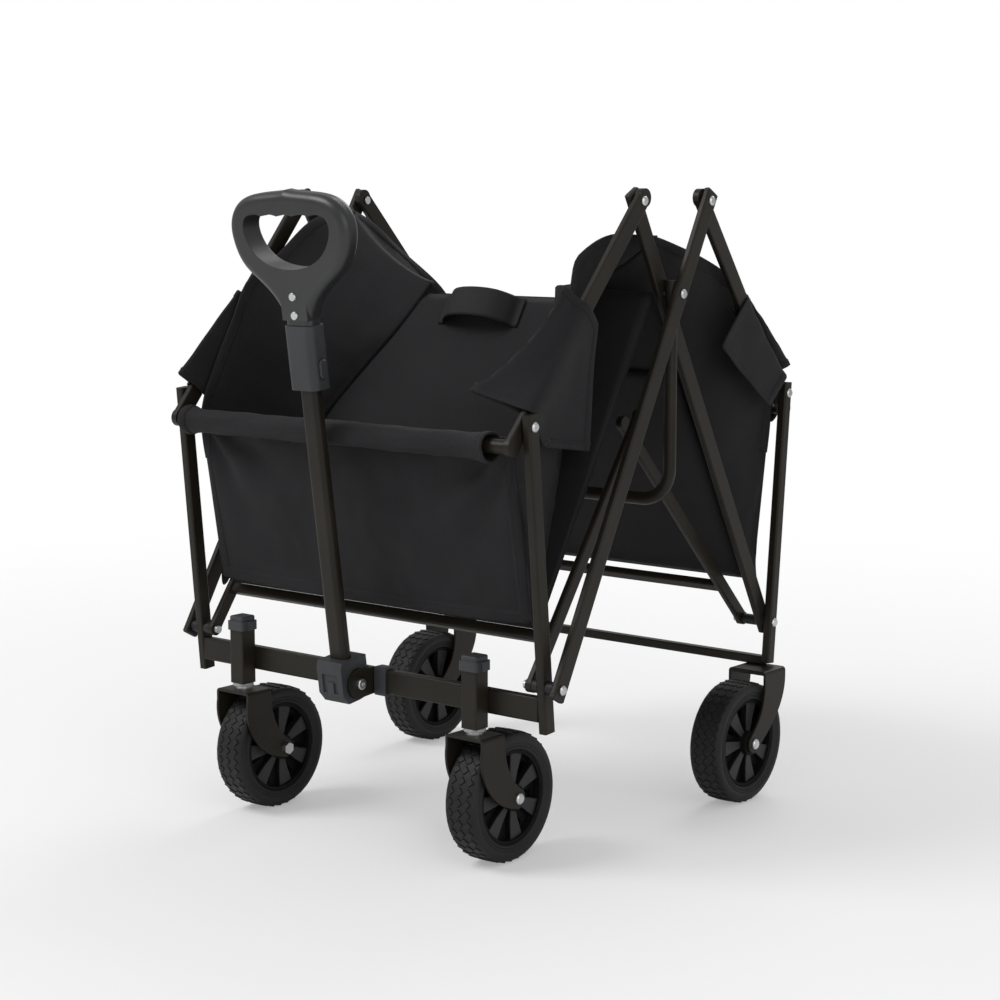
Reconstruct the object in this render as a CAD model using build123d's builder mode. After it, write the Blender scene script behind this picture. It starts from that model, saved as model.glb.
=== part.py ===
from build123d import *
import math
import os

os.makedirs("parts", exist_ok=True)

# Fold, seen from the side: crossed braces carry both end frames, shown half folded
BRACE_LOWER = 479.7
BRACE_UPPER = 120.4
BRACE_ANGLE = 29.44
PIVOT_Z = 215.4
POST_LEAN = 5.07
POST_ABOVE = 300.5
POST_BELOW = 51.4
RAIL_DOWN = 13.5
RAIL_OVERHANG = 28.0

# Layers of the frame, measured out from the middle of the wagon
FRONT_POST_X = 267.5
REAR_POST_X = 256.5
OUTER_LOW_X = 287.5
OUTER_PEAK_X = 274.5
INNER_LOW_X = 245.5
INNER_PEAK_X = 254.5
FRONT_RAIL_LOW_X = 256.8
FRONT_RAIL_PEAK_X = 264.0
REAR_RAIL_LOW_X = 245.0
REAR_RAIL_PEAK_X = 265.0
HOOP_X = 265.0
FRONT_ARM_X = 250.0
REAR_ARM_X = 214.0

# Tubes and fasteners
FLAT = 8.0
DEEP = 21.0
ARM_DEEP = 16.0
TUBE_ROUND = 2.2
WALL = 1.2
POST_FLAT = 11.0
FRONT_POST_DEEP = 17.0
REAR_POST_DEEP = 15.0
BOLT = 6.0
RUN = 0.05
HEAD_R = 5.5
HEAD_H = 3.0
PLUG_REACH = 12.5
PLUG_HEAD = 4.5

# Running gear
WHEEL_R = 75.0
WHEEL_W = 43.0
SEAT_R = 54.0
AXLE = 8.0
FORK_GAP = 48.0
FORK_WALL = 3.0
CASTER_X = 182.5
CASTER_Y = -252.5
TRAIL = 44.5
REAR_WHEEL_X = 251.4
REAR_AXLE_Y = 169.5
SPOKES = 7
WEB = 14.0

# Front bar, sockets and handle
BAR_LOW = 176.0
BAR_HIGH = 204.0
BAR_FRONT = -241.5
BAR_THICK = 12.0
SOCKET = 22.0
SOCKET_LOW = 161.0
SOCKET_HIGH = 236.0
STEM = 14.0
HINGE_Y = -266.0
HINGE_Z = 190.0
HANDLE_LEAN = 7.9
HANDLE_AHEAD = 3.85
TUBE_W = 25.0
TUBE_D = 15.0
COLLAR_LOW = 345.0
COLLAR_HIGH = 417.0
COLLAR_W = 42.0
COLLAR_D = 28.0
GRIP_TOP = 567.0
SLIDE_GAP = 0.3

# Floor and cloth
FRONT_ARM_ANGLE = 55.0
FRONT_ARM_LENGTH = 340.0
FRONT_CROSS = 57.0
REAR_ARM_ANGLE = 46.0
REAR_ARM_LENGTH = 372.0
REAR_CROSS = 65.0
MAT_FOOT_Y = -212.0
MAT_FOOT_Z = 270.0
MAT_RIDGE_Z = 628.0
MAT_T = 6.0
FLAP = 98.0
FLAP_T = 2.4
CLOTH = 2.4
SEWN = 0.3
TAB = 26.0
CLOTH_GAP = 4.0
FOLD_IN = 139.0
FOLD_CURVE = 1.55
HEM_UNDER = 14.0
HEM_OVER = 10.0
HEM_RIGHT = [(148.0, 40.0), (75.0, 67.0), (1.2, 63.0)]
HEM_LEFT = [(174.0, 9.0), (65.0, 79.0), (1.2, 95.0)]

FRONT_HALF = FRONT_ARM_X - FLAT / 2 - CLOTH_GAP
REAR_HALF = INNER_LOW_X - FLAT / 2 - CLOTH_GAP
RAIL_PIVOT = POST_ABOVE - RAIL_DOWN

sin_b = math.sin(math.radians(BRACE_ANGLE))
cos_b = math.cos(math.radians(BRACE_ANGLE))
sin_p = math.sin(math.radians(POST_LEAN))
cos_p = math.cos(math.radians(POST_LEAN))
sin_h = math.sin(math.radians(HANDLE_LEAN))
cos_h = math.cos(math.radians(HANDLE_LEAN))

END_Y = BRACE_LOWER * sin_b
CROSS_Z = PIVOT_Z + BRACE_LOWER * cos_b
PEAK_Y = BRACE_UPPER * sin_b
PEAK_Z = CROSS_Z + BRACE_UPPER * cos_b
CROSS_PART = BRACE_LOWER / (BRACE_LOWER + BRACE_UPPER)
OUTER_CROSS_X = OUTER_LOW_X + (OUTER_PEAK_X - OUTER_LOW_X) * CROSS_PART
INNER_CROSS_X = INNER_LOW_X + (INNER_PEAK_X - INNER_LOW_X) * CROSS_PART
RAIL_Y = END_Y + RAIL_PIVOT * sin_p
RAIL_Z = PIVOT_Z + RAIL_PIVOT * cos_p


def across(x, y, z):
    """Place whose z axis runs across the wagon, for pins and their holes."""
    return Location((x, y, z), (0, 90, 0))


def facing(p, q):
    """Plane at p looking at q, its x axis as near across the wagon as the slant allows."""
    way = (Vector(*q) - Vector(*p)).normalized()
    side = (Vector(1, 0, 0) - way * way.X).normalized()
    return Plane(origin=p, x_dir=side, z_dir=way)


def flat_tube(p, q, before, after, holes, deep=DEEP):
    """Flat rectangular tube from p to q, run on past both, drilled across at each hole (point, radius)."""
    start = facing(p, q)
    length = (Vector(*q) - Vector(*p)).length
    with BuildPart() as tube:
        with BuildSketch(start.offset(-before)):
            RectangleRounded(FLAT, deep, TUBE_ROUND)
            RectangleRounded(FLAT - 2 * WALL, deep - 2 * WALL, TUBE_ROUND - WALL, mode=Mode.SUBTRACT)
        extrude(amount=length + before + after)
        for point, radius in holes:
            with Locations(across(*point)):
                Cylinder(radius, 4 * FLAT, mode=Mode.SUBTRACT)
    return tube.part


def end_plug(p, q, reach):
    """Stopper in the end of a flat tube that comes from q and runs on past p."""
    out = facing(p, q).offset(-reach)
    with BuildPart() as plug:
        with BuildSketch(out):
            RectangleRounded(FLAT, DEEP, TUBE_ROUND)
        extrude(amount=PLUG_HEAD)
        chamfer(plug.faces().sort_by(Axis(out.origin, out.z_dir))[0].edges(), length=1.6)
        with BuildSketch(out.offset(PLUG_HEAD)):
            RectangleRounded(FLAT - 2 * WALL, DEEP - 2 * WALL, TUBE_ROUND - WALL)
        extrude(amount=3.5)
    return plug.part


def rivet(inner, outer, y, z, radius, inner_head):
    """Rivet across the wagon: shank between two x positions, domed head outside, flat head inside."""
    with BuildPart() as pin:
        with Locations(across((inner + outer) / 2, y, z)):
            Cylinder(radius, outer - inner)
        with Locations(across(outer + HEAD_H / 2, y, z)):
            Cylinder(HEAD_R, HEAD_H)
        chamfer(pin.edges().group_by(Axis.X)[-1], length=1.6)
        if inner_head > 0:
            with Locations(across(inner - inner_head / 2, y, z)):
                Cylinder(HEAD_R - 0.7, inner_head)
    return pin.part


def ring(x_from, x_to, y, z, radius, hole):
    """Plain spacer or washer across the wagon."""
    with BuildPart() as spacer:
        with Locations(across((x_from + x_to) / 2, y, z)):
            Cylinder(radius, x_to - x_from)
            Cylinder(hole, 2 * (x_to - x_from), mode=Mode.SUBTRACT)
    return spacer.part


def post(x, end, deep):
    """Upright of an end frame: rounded box tube, capped on top, drilled for brace bolt and rail rivet."""
    foot_y = end * (END_Y - POST_BELOW * sin_p)
    foot = Plane(
        origin=(x, foot_y, PIVOT_Z - POST_BELOW * cos_p),
        x_dir=(1, 0, 0),
        z_dir=(0, end * sin_p, cos_p),
    )
    with BuildPart() as upright:
        with BuildSketch(foot):
            RectangleRounded(POST_FLAT, deep, 2.5)
            RectangleRounded(POST_FLAT - 2 * WALL, deep - 2 * WALL, 1.3, mode=Mode.SUBTRACT)
        extrude(amount=POST_ABOVE + POST_BELOW)
        with BuildSketch(foot.offset(POST_ABOVE + POST_BELOW - 2.5)):
            RectangleRounded(POST_FLAT, deep, 2.5)
        extrude(amount=2.5)
        with Locations(across(x, end * END_Y, PIVOT_Z), across(x, end * RAIL_Y, RAIL_Z)):
            Cylinder(BOLT / 2 + RUN, 2 * POST_FLAT, mode=Mode.SUBTRACT)
    return upright.part


def fork(x, axle_y, front_edge, back_edge, crown_low, crown_high):
    """Stamped wheel fork: two curved legs under a crown plate, holes for the axle."""
    outer = FORK_GAP / 2 + FORK_WALL
    top_front = (front_edge[0][0], crown_high)
    top_back = (back_edge[0][0], crown_high)
    eye = 11.5
    with BuildPart() as part:
        with BuildSketch(Plane(origin=(x - outer, 0, 0), x_dir=(0, 1, 0), z_dir=(1, 0, 0))):
            with BuildLine():
                Line(top_back, top_front)
                Line(top_front, front_edge[0])
                Spline(*front_edge)
                Line(front_edge[-1], back_edge[-1])
                Spline(*back_edge)
                Line(back_edge[0], top_back)
            make_face()
            with Locations((axle_y, WHEEL_R)):
                Circle(eye)
        extrude(amount=2 * outer)
        with BuildSketch(Plane(origin=(x - FORK_GAP / 2, 0, 0), x_dir=(0, 1, 0), z_dir=(1, 0, 0))):
            with Locations(((top_front[0] + top_back[0]) / 2, crown_low / 2)):
                Rectangle(400, crown_low)
        extrude(amount=FORK_GAP, mode=Mode.SUBTRACT)
        fillet(part.edges().filter_by(Axis.Y).group_by(Axis.Z)[-1], radius=4.5)
        with Locations(across(x, axle_y, WHEEL_R)):
            Cylinder(AXLE / 2 + RUN, 3 * outer, mode=Mode.SUBTRACT)
    return part.part


def axle_bolt(x, y):
    """Axle bolt: shank through fork and hub, domed head outboard, nut inboard."""
    side = 1 if x > 0 else -1
    reach = FORK_GAP / 2 + FORK_WALL
    with BuildPart() as bolt:
        with Locations(across(x, y, WHEEL_R)):
            Cylinder(AXLE / 2, 2 * reach)
        with Locations(across(x + side * (reach + 2), y, WHEEL_R)):
            Cylinder(6.5, 4)
        chamfer(bolt.edges().group_by(Axis.X)[-1 if side > 0 else 0], length=1.6)
        with BuildSketch(Plane(origin=(x - side * reach, y, WHEEL_R), z_dir=(-side, 0, 0))):
            RegularPolygon(7.5, 6)
        extrude(amount=6)
    return bolt.part


def tyre(x, y):
    """Foam-filled tyre: rounded tread, stepped side walls, seated on the rim."""
    half = WHEEL_W / 2
    with BuildPart() as ring_part:
        with BuildSketch(Plane(origin=(x, y, WHEEL_R), x_dir=(1, 0, 0), z_dir=(0, 1, 0))):
            with BuildLine():
                Polyline(
                    (-half + 4, SEAT_R),
                    (-half + 1.5, SEAT_R + 2),
                    (-half + 1.5, SEAT_R + 6),
                    (-half, SEAT_R + 8),
                    (-half + 2.5, WHEEL_R - 4),
                    (-half + 8, WHEEL_R - 0.6),
                    (0, WHEEL_R),
                    (half - 8, WHEEL_R - 0.6),
                    (half - 2.5, WHEEL_R - 4),
                    (half, SEAT_R + 8),
                    (half - 1.5, SEAT_R + 6),
                    (half - 1.5, SEAT_R + 2),
                    (half - 4, SEAT_R),
                    close=True,
                )
            make_face()
        revolve(axis=Axis((x, y, WHEEL_R), (1, 0, 0)))
    return ring_part.part


def rim(x, y):
    """Moulded rim: barrel, dished web with wedge windows between broad spokes, bored hub."""
    half = WHEEL_W / 2 - 4
    middle = Plane(origin=(x, y, WHEEL_R), z_dir=(1, 0, 0))
    with BuildPart() as wheel:
        with BuildSketch(middle.offset(-half)):
            Circle(SEAT_R)
            Circle(SEAT_R - 4, mode=Mode.SUBTRACT)
        extrude(amount=2 * half)
        with BuildSketch(middle.offset(-WEB / 2)):
            Circle(SEAT_R - 2)
            with PolarLocations(0, SPOKES):
                Polygon(
                    (17, -2.2),
                    (SEAT_R - 8, -10.5),
                    (SEAT_R - 5.5, 0),
                    (SEAT_R - 8, 10.5),
                    (17, 2.2),
                    align=None,
                    mode=Mode.SUBTRACT,
                )
        extrude(amount=WEB)
        with BuildSketch(middle.offset(-FORK_GAP / 2 + 1)):
            Circle(15)
        extrude(amount=FORK_GAP - 2)
        with Locations(across(x, y, WHEEL_R)):
            Cylinder(AXLE / 2 + RUN, 2 * FORK_GAP, mode=Mode.SUBTRACT)
    return wheel.part


# Front posts, standing on the lower bar's ends
front_post = post(FRONT_POST_X, -1, FRONT_POST_DEEP)
with BuildPart() as front_posts:
    add(front_post)
    mirror(about=Plane.YZ)
front_posts.part.label = "front_posts"
export_step(front_posts.part, "parts/front_posts.step")

# Front lower bar: box tube between the posts
bar_half = FRONT_POST_X - POST_FLAT / 2
bar_y = BAR_FRONT + BAR_THICK / 2
bar_z = (BAR_LOW + BAR_HIGH) / 2
bar_tall = BAR_HIGH - BAR_LOW
with BuildPart() as front_lower_bar:
    with BuildSketch(Plane(origin=(-bar_half, bar_y, bar_z), x_dir=(0, 1, 0), z_dir=(1, 0, 0))):
        RectangleRounded(BAR_THICK, bar_tall, 2.5)
        RectangleRounded(BAR_THICK - 3, bar_tall - 3, 1.2, mode=Mode.SUBTRACT)
    extrude(amount=2 * bar_half)
front_lower_bar.part.label = "front_lower_bar"
export_step(front_lower_bar.part, "parts/front_lower_bar.step")

# Square caster sockets welded to the face of the bar
with BuildPart() as caster_sockets:
    with BuildSketch(Plane.XY.offset(SOCKET_LOW)):
        with Locations((CASTER_X, CASTER_Y), (-CASTER_X, CASTER_Y)):
            RectangleRounded(SOCKET, SOCKET, 2)
            Rectangle(SOCKET - 3.2, SOCKET - 3.2, mode=Mode.SUBTRACT)
    extrude(amount=SOCKET_HIGH - SOCKET_LOW)
caster_sockets.part.label = "caster_sockets"
export_step(caster_sockets.part, "parts/caster_sockets.step")

# Nylon bushes in both ends of each socket, the lower one with a flange
with BuildPart() as caster_bushes:
    with Locations((CASTER_X, CASTER_Y, 0), (-CASTER_X, CASTER_Y, 0)):
        with Locations((0, 0, SOCKET_LOW), (0, 0, SOCKET_HIGH - 14)):
            Box(SOCKET - 3.4, SOCKET - 3.4, 14, align=(Align.CENTER, Align.CENTER, Align.MIN))
        with Locations((0, 0, SOCKET_LOW - 3.5)):
            Cylinder(12.5, 3.5, align=(Align.CENTER, Align.CENTER, Align.MIN))
        with Locations((0, 0, SOCKET_LOW - 10)):
            Cylinder(
                STEM / 2 + RUN,
                100,
                align=(Align.CENTER, Align.CENTER, Align.MIN),
                mode=Mode.SUBTRACT,
            )
caster_bushes.part.label = "caster_bushes"
export_step(caster_bushes.part, "parts/caster_bushes.step")

# Stepped plastic caps over the sockets, with a lug each side
cap_low = SOCKET_HIGH - 10
with BuildPart() as caster_caps:
    with BuildSketch(Plane.XY.offset(cap_low)):
        with Locations((CASTER_X, CASTER_Y), (-CASTER_X, CASTER_Y)):
            RectangleRounded(SOCKET + 4, SOCKET + 4, 3)
            Rectangle(SOCKET + 9, 9)
    extrude(amount=11)
    with BuildSketch(Plane.XY.offset(cap_low + 11)):
        with Locations((CASTER_X, CASTER_Y), (-CASTER_X, CASTER_Y)):
            RectangleRounded(SOCKET + 0.5, SOCKET + 0.5, 3)
    extrude(amount=6)
    chamfer(caster_caps.faces().sort_by(Axis.Z)[-2:].edges(), length=1.2)
    with BuildSketch(Plane.XY.offset(cap_low)):
        with Locations((CASTER_X, CASTER_Y), (-CASTER_X, CASTER_Y)):
            RectangleRounded(SOCKET, SOCKET, 2)
    extrude(amount=10, mode=Mode.SUBTRACT)
    with Locations((CASTER_X, CASTER_Y, SOCKET_HIGH), (-CASTER_X, CASTER_Y, SOCKET_HIGH)):
        Cylinder(9.7, 4.5, align=(Align.CENTER, Align.CENTER, Align.MIN), mode=Mode.SUBTRACT)
caster_caps.part.label = "caster_caps"
export_step(caster_caps.part, "parts/caster_caps.step")

# Brace bolt through a front post, and the rail rivet near its top
arm_inner = FRONT_ARM_X - FLAT / 2
bolt_right = rivet(arm_inner - 0.5, OUTER_LOW_X + FLAT / 2 + 0.5, -END_Y, PIVOT_Z, BOLT / 2, 4.5)
post_outer = FRONT_POST_X + POST_FLAT / 2
rail_rivet = rivet(post_outer - POST_FLAT + 0.2, post_outer, -RAIL_Y, RAIL_Z, BOLT / 2, 0)
# Spacers on the front bolts: outside to the outer brace, inside to the floor arm
spacer_out = ring(post_outer, OUTER_LOW_X - FLAT / 2 - 0.5, -END_Y, PIVOT_Z, 7.5, BOLT / 2 + RUN)
spacer_in = ring(FRONT_ARM_X + FLAT / 2 + 0.4, post_outer - POST_FLAT, -END_Y, PIVOT_Z, 7.5, BOLT / 2 + RUN)
with BuildPart() as front_pivot_spacers:
    add(spacer_out)
    add(spacer_in)
    mirror(about=Plane.YZ)
front_pivot_spacers.part.label = "front_pivot_spacers"
export_step(front_pivot_spacers.part, "parts/front_pivot_spacers.step")

# Handle bracket: folded plate on the bar with a rounded ear each side of the knuckle
ear_in = 19.6
ear_out = 22.6
with BuildPart() as handle_bracket:
    with BuildSketch(Plane(origin=(-ear_out, 0, 0), x_dir=(0, 1, 0), z_dir=(1, 0, 0))):
        with Locations((HINGE_Y, HINGE_Z)):
            Circle(18)
        with BuildLine():
            Polyline(
                (HINGE_Y - 4, HINGE_Z - 17.55),
                (BAR_FRONT, BAR_LOW - 1),
                (BAR_FRONT, BAR_HIGH + 2),
                (HINGE_Y - 4, HINGE_Z + 17.55),
                close=True,
            )
        make_face()
    extrude(amount=2 * ear_out)
    with BuildSketch(Plane(origin=(-ear_in, 0, 0), x_dir=(0, 1, 0), z_dir=(1, 0, 0))):
        with Locations((BAR_FRONT - 53, HINGE_Z)):
            Rectangle(100, 100)
    extrude(amount=2 * ear_in, mode=Mode.SUBTRACT)
    with Locations(across(0, HINGE_Y, HINGE_Z)):
        Cylinder(4 + RUN, 100, mode=Mode.SUBTRACT)
handle_bracket.part.label = "handle_bracket"
export_step(handle_bracket.part, "parts/handle_bracket.step")

# Bolts of the front frame: brace bolts, rail rivets and the bolt on which the handle folds down
with BuildPart() as handle_bolt:
    with Locations(across(0, HINGE_Y, HINGE_Z)):
        Cylinder(4, 2 * ear_out)
    with Locations(across(ear_out + 2.5, HINGE_Y, HINGE_Z)):
        Cylinder(6.5, 5)
    chamfer(handle_bolt.edges().group_by(Axis.X)[-1], length=1)
    with BuildSketch(Plane(origin=(ear_out + 5, HINGE_Y, HINGE_Z), z_dir=(1, 0, 0))):
        RegularPolygon(2.9, 6)
    extrude(amount=-3, mode=Mode.SUBTRACT)
    with BuildSketch(Plane(origin=(-ear_out, HINGE_Y, HINGE_Z), z_dir=(-1, 0, 0))):
        RegularPolygon(7.5, 6)
    extrude(amount=6)

with BuildPart() as front_frame_bolts:
    add(bolt_right)
    add(rail_rivet)
    mirror(about=Plane.YZ)
    add(handle_bolt.part)
front_frame_bolts.part.label = "front_frame_bolts"
export_step(front_frame_bolts.part, "parts/front_frame_bolts.step")

# Plastic sleeves round the bar, one each side of the bracket
with BuildPart() as handle_bar_sleeves:
    with BuildSketch(Plane(origin=(ear_out + 2, bar_y, bar_z), x_dir=(0, 1, 0), z_dir=(1, 0, 0))):
        RectangleRounded(BAR_THICK + 6, bar_tall + 6, 4)
        RectangleRounded(BAR_THICK, bar_tall, 2.5, mode=Mode.SUBTRACT)
    extrude(amount=17)
    mirror(about=Plane.YZ)
handle_bar_sleeves.part.label = "handle_bar_sleeves"
export_step(handle_bar_sleeves.part, "parts/handle_bar_sleeves.step")


def caster_fork(x):
    """Swivelling front fork, its legs swept back to the trailing axle."""
    y = CASTER_Y
    axle_y = CASTER_Y + TRAIL
    ahead = [(y - 18.5, 140), (y - 17, 113), (y - 4, 89), (y + 19, 71), (axle_y - 5, WHEEL_R - 10.4)]
    behind = [(y + 20, 140), (y + 22, 127), (y + 30, 106), (y + 41, 92), (axle_y + 8, WHEEL_R + 8.3)]
    return fork(x, axle_y, ahead, behind, 150.0, 153.5)


def caster_stem(x):
    """Stem of a caster: shoulder on the crown, shank up the bushes, keeper disc on top."""
    with BuildPart() as stem:
        with Locations((x, CASTER_Y, 153.5)):
            Cylinder(10, 3.6, align=(Align.CENTER, Align.CENTER, Align.MIN))
            Cylinder(STEM / 2, SOCKET_HIGH - 150.5, align=(Align.CENTER, Align.CENTER, Align.MIN))
        with Locations((x, CASTER_Y, SOCKET_HIGH + 0.4)):
            Cylinder(8.6, 2.6, align=(Align.CENTER, Align.CENTER, Align.MIN))
    return stem.part


# Left caster
caster_fork_left_stamping = caster_fork(-CASTER_X)
with BuildPart() as caster_fork_left:
    add(caster_fork_left_stamping)
caster_fork_left.part.label = "caster_fork_left"
export_step(caster_fork_left.part, "parts/caster_fork_left.step")

caster_stem_left_pin = caster_stem(-CASTER_X)
with BuildPart() as caster_stem_left:
    add(caster_stem_left_pin)
caster_stem_left.part.label = "caster_stem_left"
export_step(caster_stem_left.part, "parts/caster_stem_left.step")

front_axle_left_bolt = axle_bolt(-CASTER_X, CASTER_Y + TRAIL)
with BuildPart() as front_axle_left:
    add(front_axle_left_bolt)
front_axle_left.part.label = "front_axle_left"
export_step(front_axle_left.part, "parts/front_axle_left.step")

# Right caster
caster_fork_right_stamping = caster_fork(CASTER_X)
with BuildPart() as caster_fork_right:
    add(caster_fork_right_stamping)
caster_fork_right.part.label = "caster_fork_right"
export_step(caster_fork_right.part, "parts/caster_fork_right.step")

caster_stem_right_pin = caster_stem(CASTER_X)
with BuildPart() as caster_stem_right:
    add(caster_stem_right_pin)
caster_stem_right.part.label = "caster_stem_right"
export_step(caster_stem_right.part, "parts/caster_stem_right.step")

front_axle_right_bolt = axle_bolt(CASTER_X, CASTER_Y + TRAIL)
with BuildPart() as front_axle_right:
    add(front_axle_right_bolt)
front_axle_right.part.label = "front_axle_right"
export_step(front_axle_right.part, "parts/front_axle_right.step")

# Four wheels, each a tyre on a moulded rim
tyre_front_left_ring = tyre(-CASTER_X, CASTER_Y + TRAIL)
with BuildPart() as tyre_front_left:
    add(tyre_front_left_ring)
tyre_front_left.part.label = "tyre_front_left"
export_step(tyre_front_left.part, "parts/tyre_front_left.step")

rim_front_left_moulding = rim(-CASTER_X, CASTER_Y + TRAIL)
with BuildPart() as rim_front_left:
    add(rim_front_left_moulding)
rim_front_left.part.label = "rim_front_left"
export_step(rim_front_left.part, "parts/rim_front_left.step")

tyre_front_right_ring = tyre(CASTER_X, CASTER_Y + TRAIL)
with BuildPart() as tyre_front_right:
    add(tyre_front_right_ring)
tyre_front_right.part.label = "tyre_front_right"
export_step(tyre_front_right.part, "parts/tyre_front_right.step")

rim_front_right_moulding = rim(CASTER_X, CASTER_Y + TRAIL)
with BuildPart() as rim_front_right:
    add(rim_front_right_moulding)
rim_front_right.part.label = "rim_front_right"
export_step(rim_front_right.part, "parts/rim_front_right.step")

tyre_rear_left_ring = tyre(-REAR_WHEEL_X, REAR_AXLE_Y)
with BuildPart() as tyre_rear_left:
    add(tyre_rear_left_ring)
tyre_rear_left.part.label = "tyre_rear_left"
export_step(tyre_rear_left.part, "parts/tyre_rear_left.step")

rim_rear_left_moulding = rim(-REAR_WHEEL_X, REAR_AXLE_Y)
with BuildPart() as rim_rear_left:
    add(rim_rear_left_moulding)
rim_rear_left.part.label = "rim_rear_left"
export_step(rim_rear_left.part, "parts/rim_rear_left.step")

tyre_rear_right_ring = tyre(REAR_WHEEL_X, REAR_AXLE_Y)
with BuildPart() as tyre_rear_right:
    add(tyre_rear_right_ring)
tyre_rear_right.part.label = "tyre_rear_right"
export_step(tyre_rear_right.part, "parts/tyre_rear_right.step")

rim_rear_right_moulding = rim(REAR_WHEEL_X, REAR_AXLE_Y)
with BuildPart() as rim_rear_right:
    add(rim_rear_right_moulding)
rim_rear_right.part.label = "rim_rear_right"
export_step(rim_rear_right.part, "parts/rim_rear_right.step")

# Handle, drawn in its own leaning frame: side is seen from the right, up runs along the tube
hinge = (0, HINGE_Y, HINGE_Z)
handle_side = Plane(origin=hinge, x_dir=(0, cos_h, sin_h), z_dir=(1, 0, 0))
tube_foot = (0, HINGE_Y - HANDLE_AHEAD * cos_h, HINGE_Z - HANDLE_AHEAD * sin_h)
handle_up = Plane(origin=tube_foot, x_dir=(1, 0, 0), z_dir=(0, -sin_h, cos_h))
handle_face = Plane(origin=tube_foot, x_dir=(1, 0, 0), z_dir=(0, -cos_h, -sin_h))

# Knuckle at the foot of the handle, turning between the bracket's ears
knuckle_half = ear_in - 0.5
with BuildPart() as handle_knuckle:
    with BuildSketch(handle_side.offset(-knuckle_half)):
        Circle(20)
        with BuildLine():
            Polyline((-25, -8), (-17, -20), (-2, -20), (18, -8), (18, 30), (-22, 30), (-25, 24), close=True)
        make_face()
    extrude(amount=2 * knuckle_half)
    with BuildSketch(handle_face.offset(25 - HANDLE_AHEAD)):
        with Locations((0, 4)):
            Rectangle(24, 22)
        with Locations((0, -1)):
            Rectangle(9, 14, mode=Mode.SUBTRACT)
    extrude(amount=-2, mode=Mode.SUBTRACT)
    with BuildSketch(handle_up.offset(8)):
        RectangleRounded(TUBE_W, TUBE_D, 6)
    extrude(amount=40, mode=Mode.SUBTRACT)
    with Locations(across(*hinge)):
        Cylinder(4 + RUN, 100, mode=Mode.SUBTRACT)
handle_knuckle.part.label = "handle_knuckle"
export_step(handle_knuckle.part, "parts/handle_knuckle.step")

# Outer tube, from the knuckle up into the collar
tube_top = COLLAR_LOW + 45
with BuildPart() as handle_outer_tube:
    with BuildSketch(handle_up.offset(8)):
        RectangleRounded(TUBE_W, TUBE_D, 6)
        RectangleRounded(TUBE_W - 3, TUBE_D - 3, 4.5, mode=Mode.SUBTRACT)
    extrude(amount=tube_top - 8)
handle_outer_tube.part.label = "handle_outer_tube"
export_step(handle_outer_tube.part, "parts/handle_outer_tube.step")

# Collar: clamps the top of the outer tube, guides the inner tube and holds the buttons
button_l = COLLAR_LOW + 23
with BuildPart() as handle_collar:
    with BuildSketch(handle_up.offset(COLLAR_LOW)):
        RectangleRounded(COLLAR_W, COLLAR_D, 9)
    extrude(amount=COLLAR_HIGH - COLLAR_LOW)
    with BuildSketch(handle_up.offset(COLLAR_LOW)):
        RectangleRounded(TUBE_W, TUBE_D, 6)
    extrude(amount=tube_top - COLLAR_LOW, mode=Mode.SUBTRACT)
    with BuildSketch(handle_up.offset(tube_top)):
        RectangleRounded(TUBE_W - 3, TUBE_D - 3, 4.5)
    extrude(amount=COLLAR_HIGH - tube_top, mode=Mode.SUBTRACT)
    with BuildSketch(handle_up.offset(COLLAR_HIGH - 6)):
        RectangleRounded(39, 23, 8)
    extrude(amount=6, mode=Mode.SUBTRACT)
    for way in (-1, 1):
        with BuildSketch(handle_side.offset(way * 13.5)):
            with Locations((-HANDLE_AHEAD, button_l)):
                SlotOverall(22 + 2 * SLIDE_GAP, 11 + 2 * SLIDE_GAP, rotation=90)
        extrude(amount=way * 20, mode=Mode.SUBTRACT)
handle_collar.part.label = "handle_collar"
export_step(handle_collar.part, "parts/handle_collar.step")

# Press buttons in the collar's sides
with BuildPart() as collar_button_right:
    with BuildSketch(handle_side.offset(17)):
        with Locations((-HANDLE_AHEAD, button_l)):
            SlotOverall(22, 11, rotation=90)
    extrude(amount=7)
    chamfer(collar_button_right.faces().sort_by(Axis.X)[-1].edges(), length=1.2)
collar_button_right.part.label = "collar_button_right"
export_step(collar_button_right.part, "parts/collar_button_right.step")

with BuildPart() as collar_button_left:
    mirror(collar_button_right.part, about=Plane.YZ)
collar_button_left.part.label = "collar_button_left"
export_step(collar_button_left.part, "parts/collar_button_left.step")

# Inner tube that slides in the outer tube, pinned into the grip
inner_w = TUBE_W - 3 - 2 * SLIDE_GAP
inner_d = TUBE_D - 3 - 2 * SLIDE_GAP
neck_l = COLLAR_HIGH - 5.5
with BuildPart() as handle_inner_tube:
    with BuildSketch(handle_up.offset(60)):
        RectangleRounded(inner_w, inner_d, 4.2)
        RectangleRounded(inner_w - 2.4, inner_d - 2.4, 3, mode=Mode.SUBTRACT)
    extrude(amount=COLLAR_HIGH + 45 - 60)
    for up in (12, 33):
        with BuildSketch(handle_face.offset(20)):
            with Locations((0, COLLAR_HIGH + up)):
                Circle(2.5)
        extrude(amount=-40, mode=Mode.SUBTRACT)
handle_inner_tube.part.label = "handle_inner_tube"
export_step(handle_inner_tube.part, "parts/handle_inner_tube.step")

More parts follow.
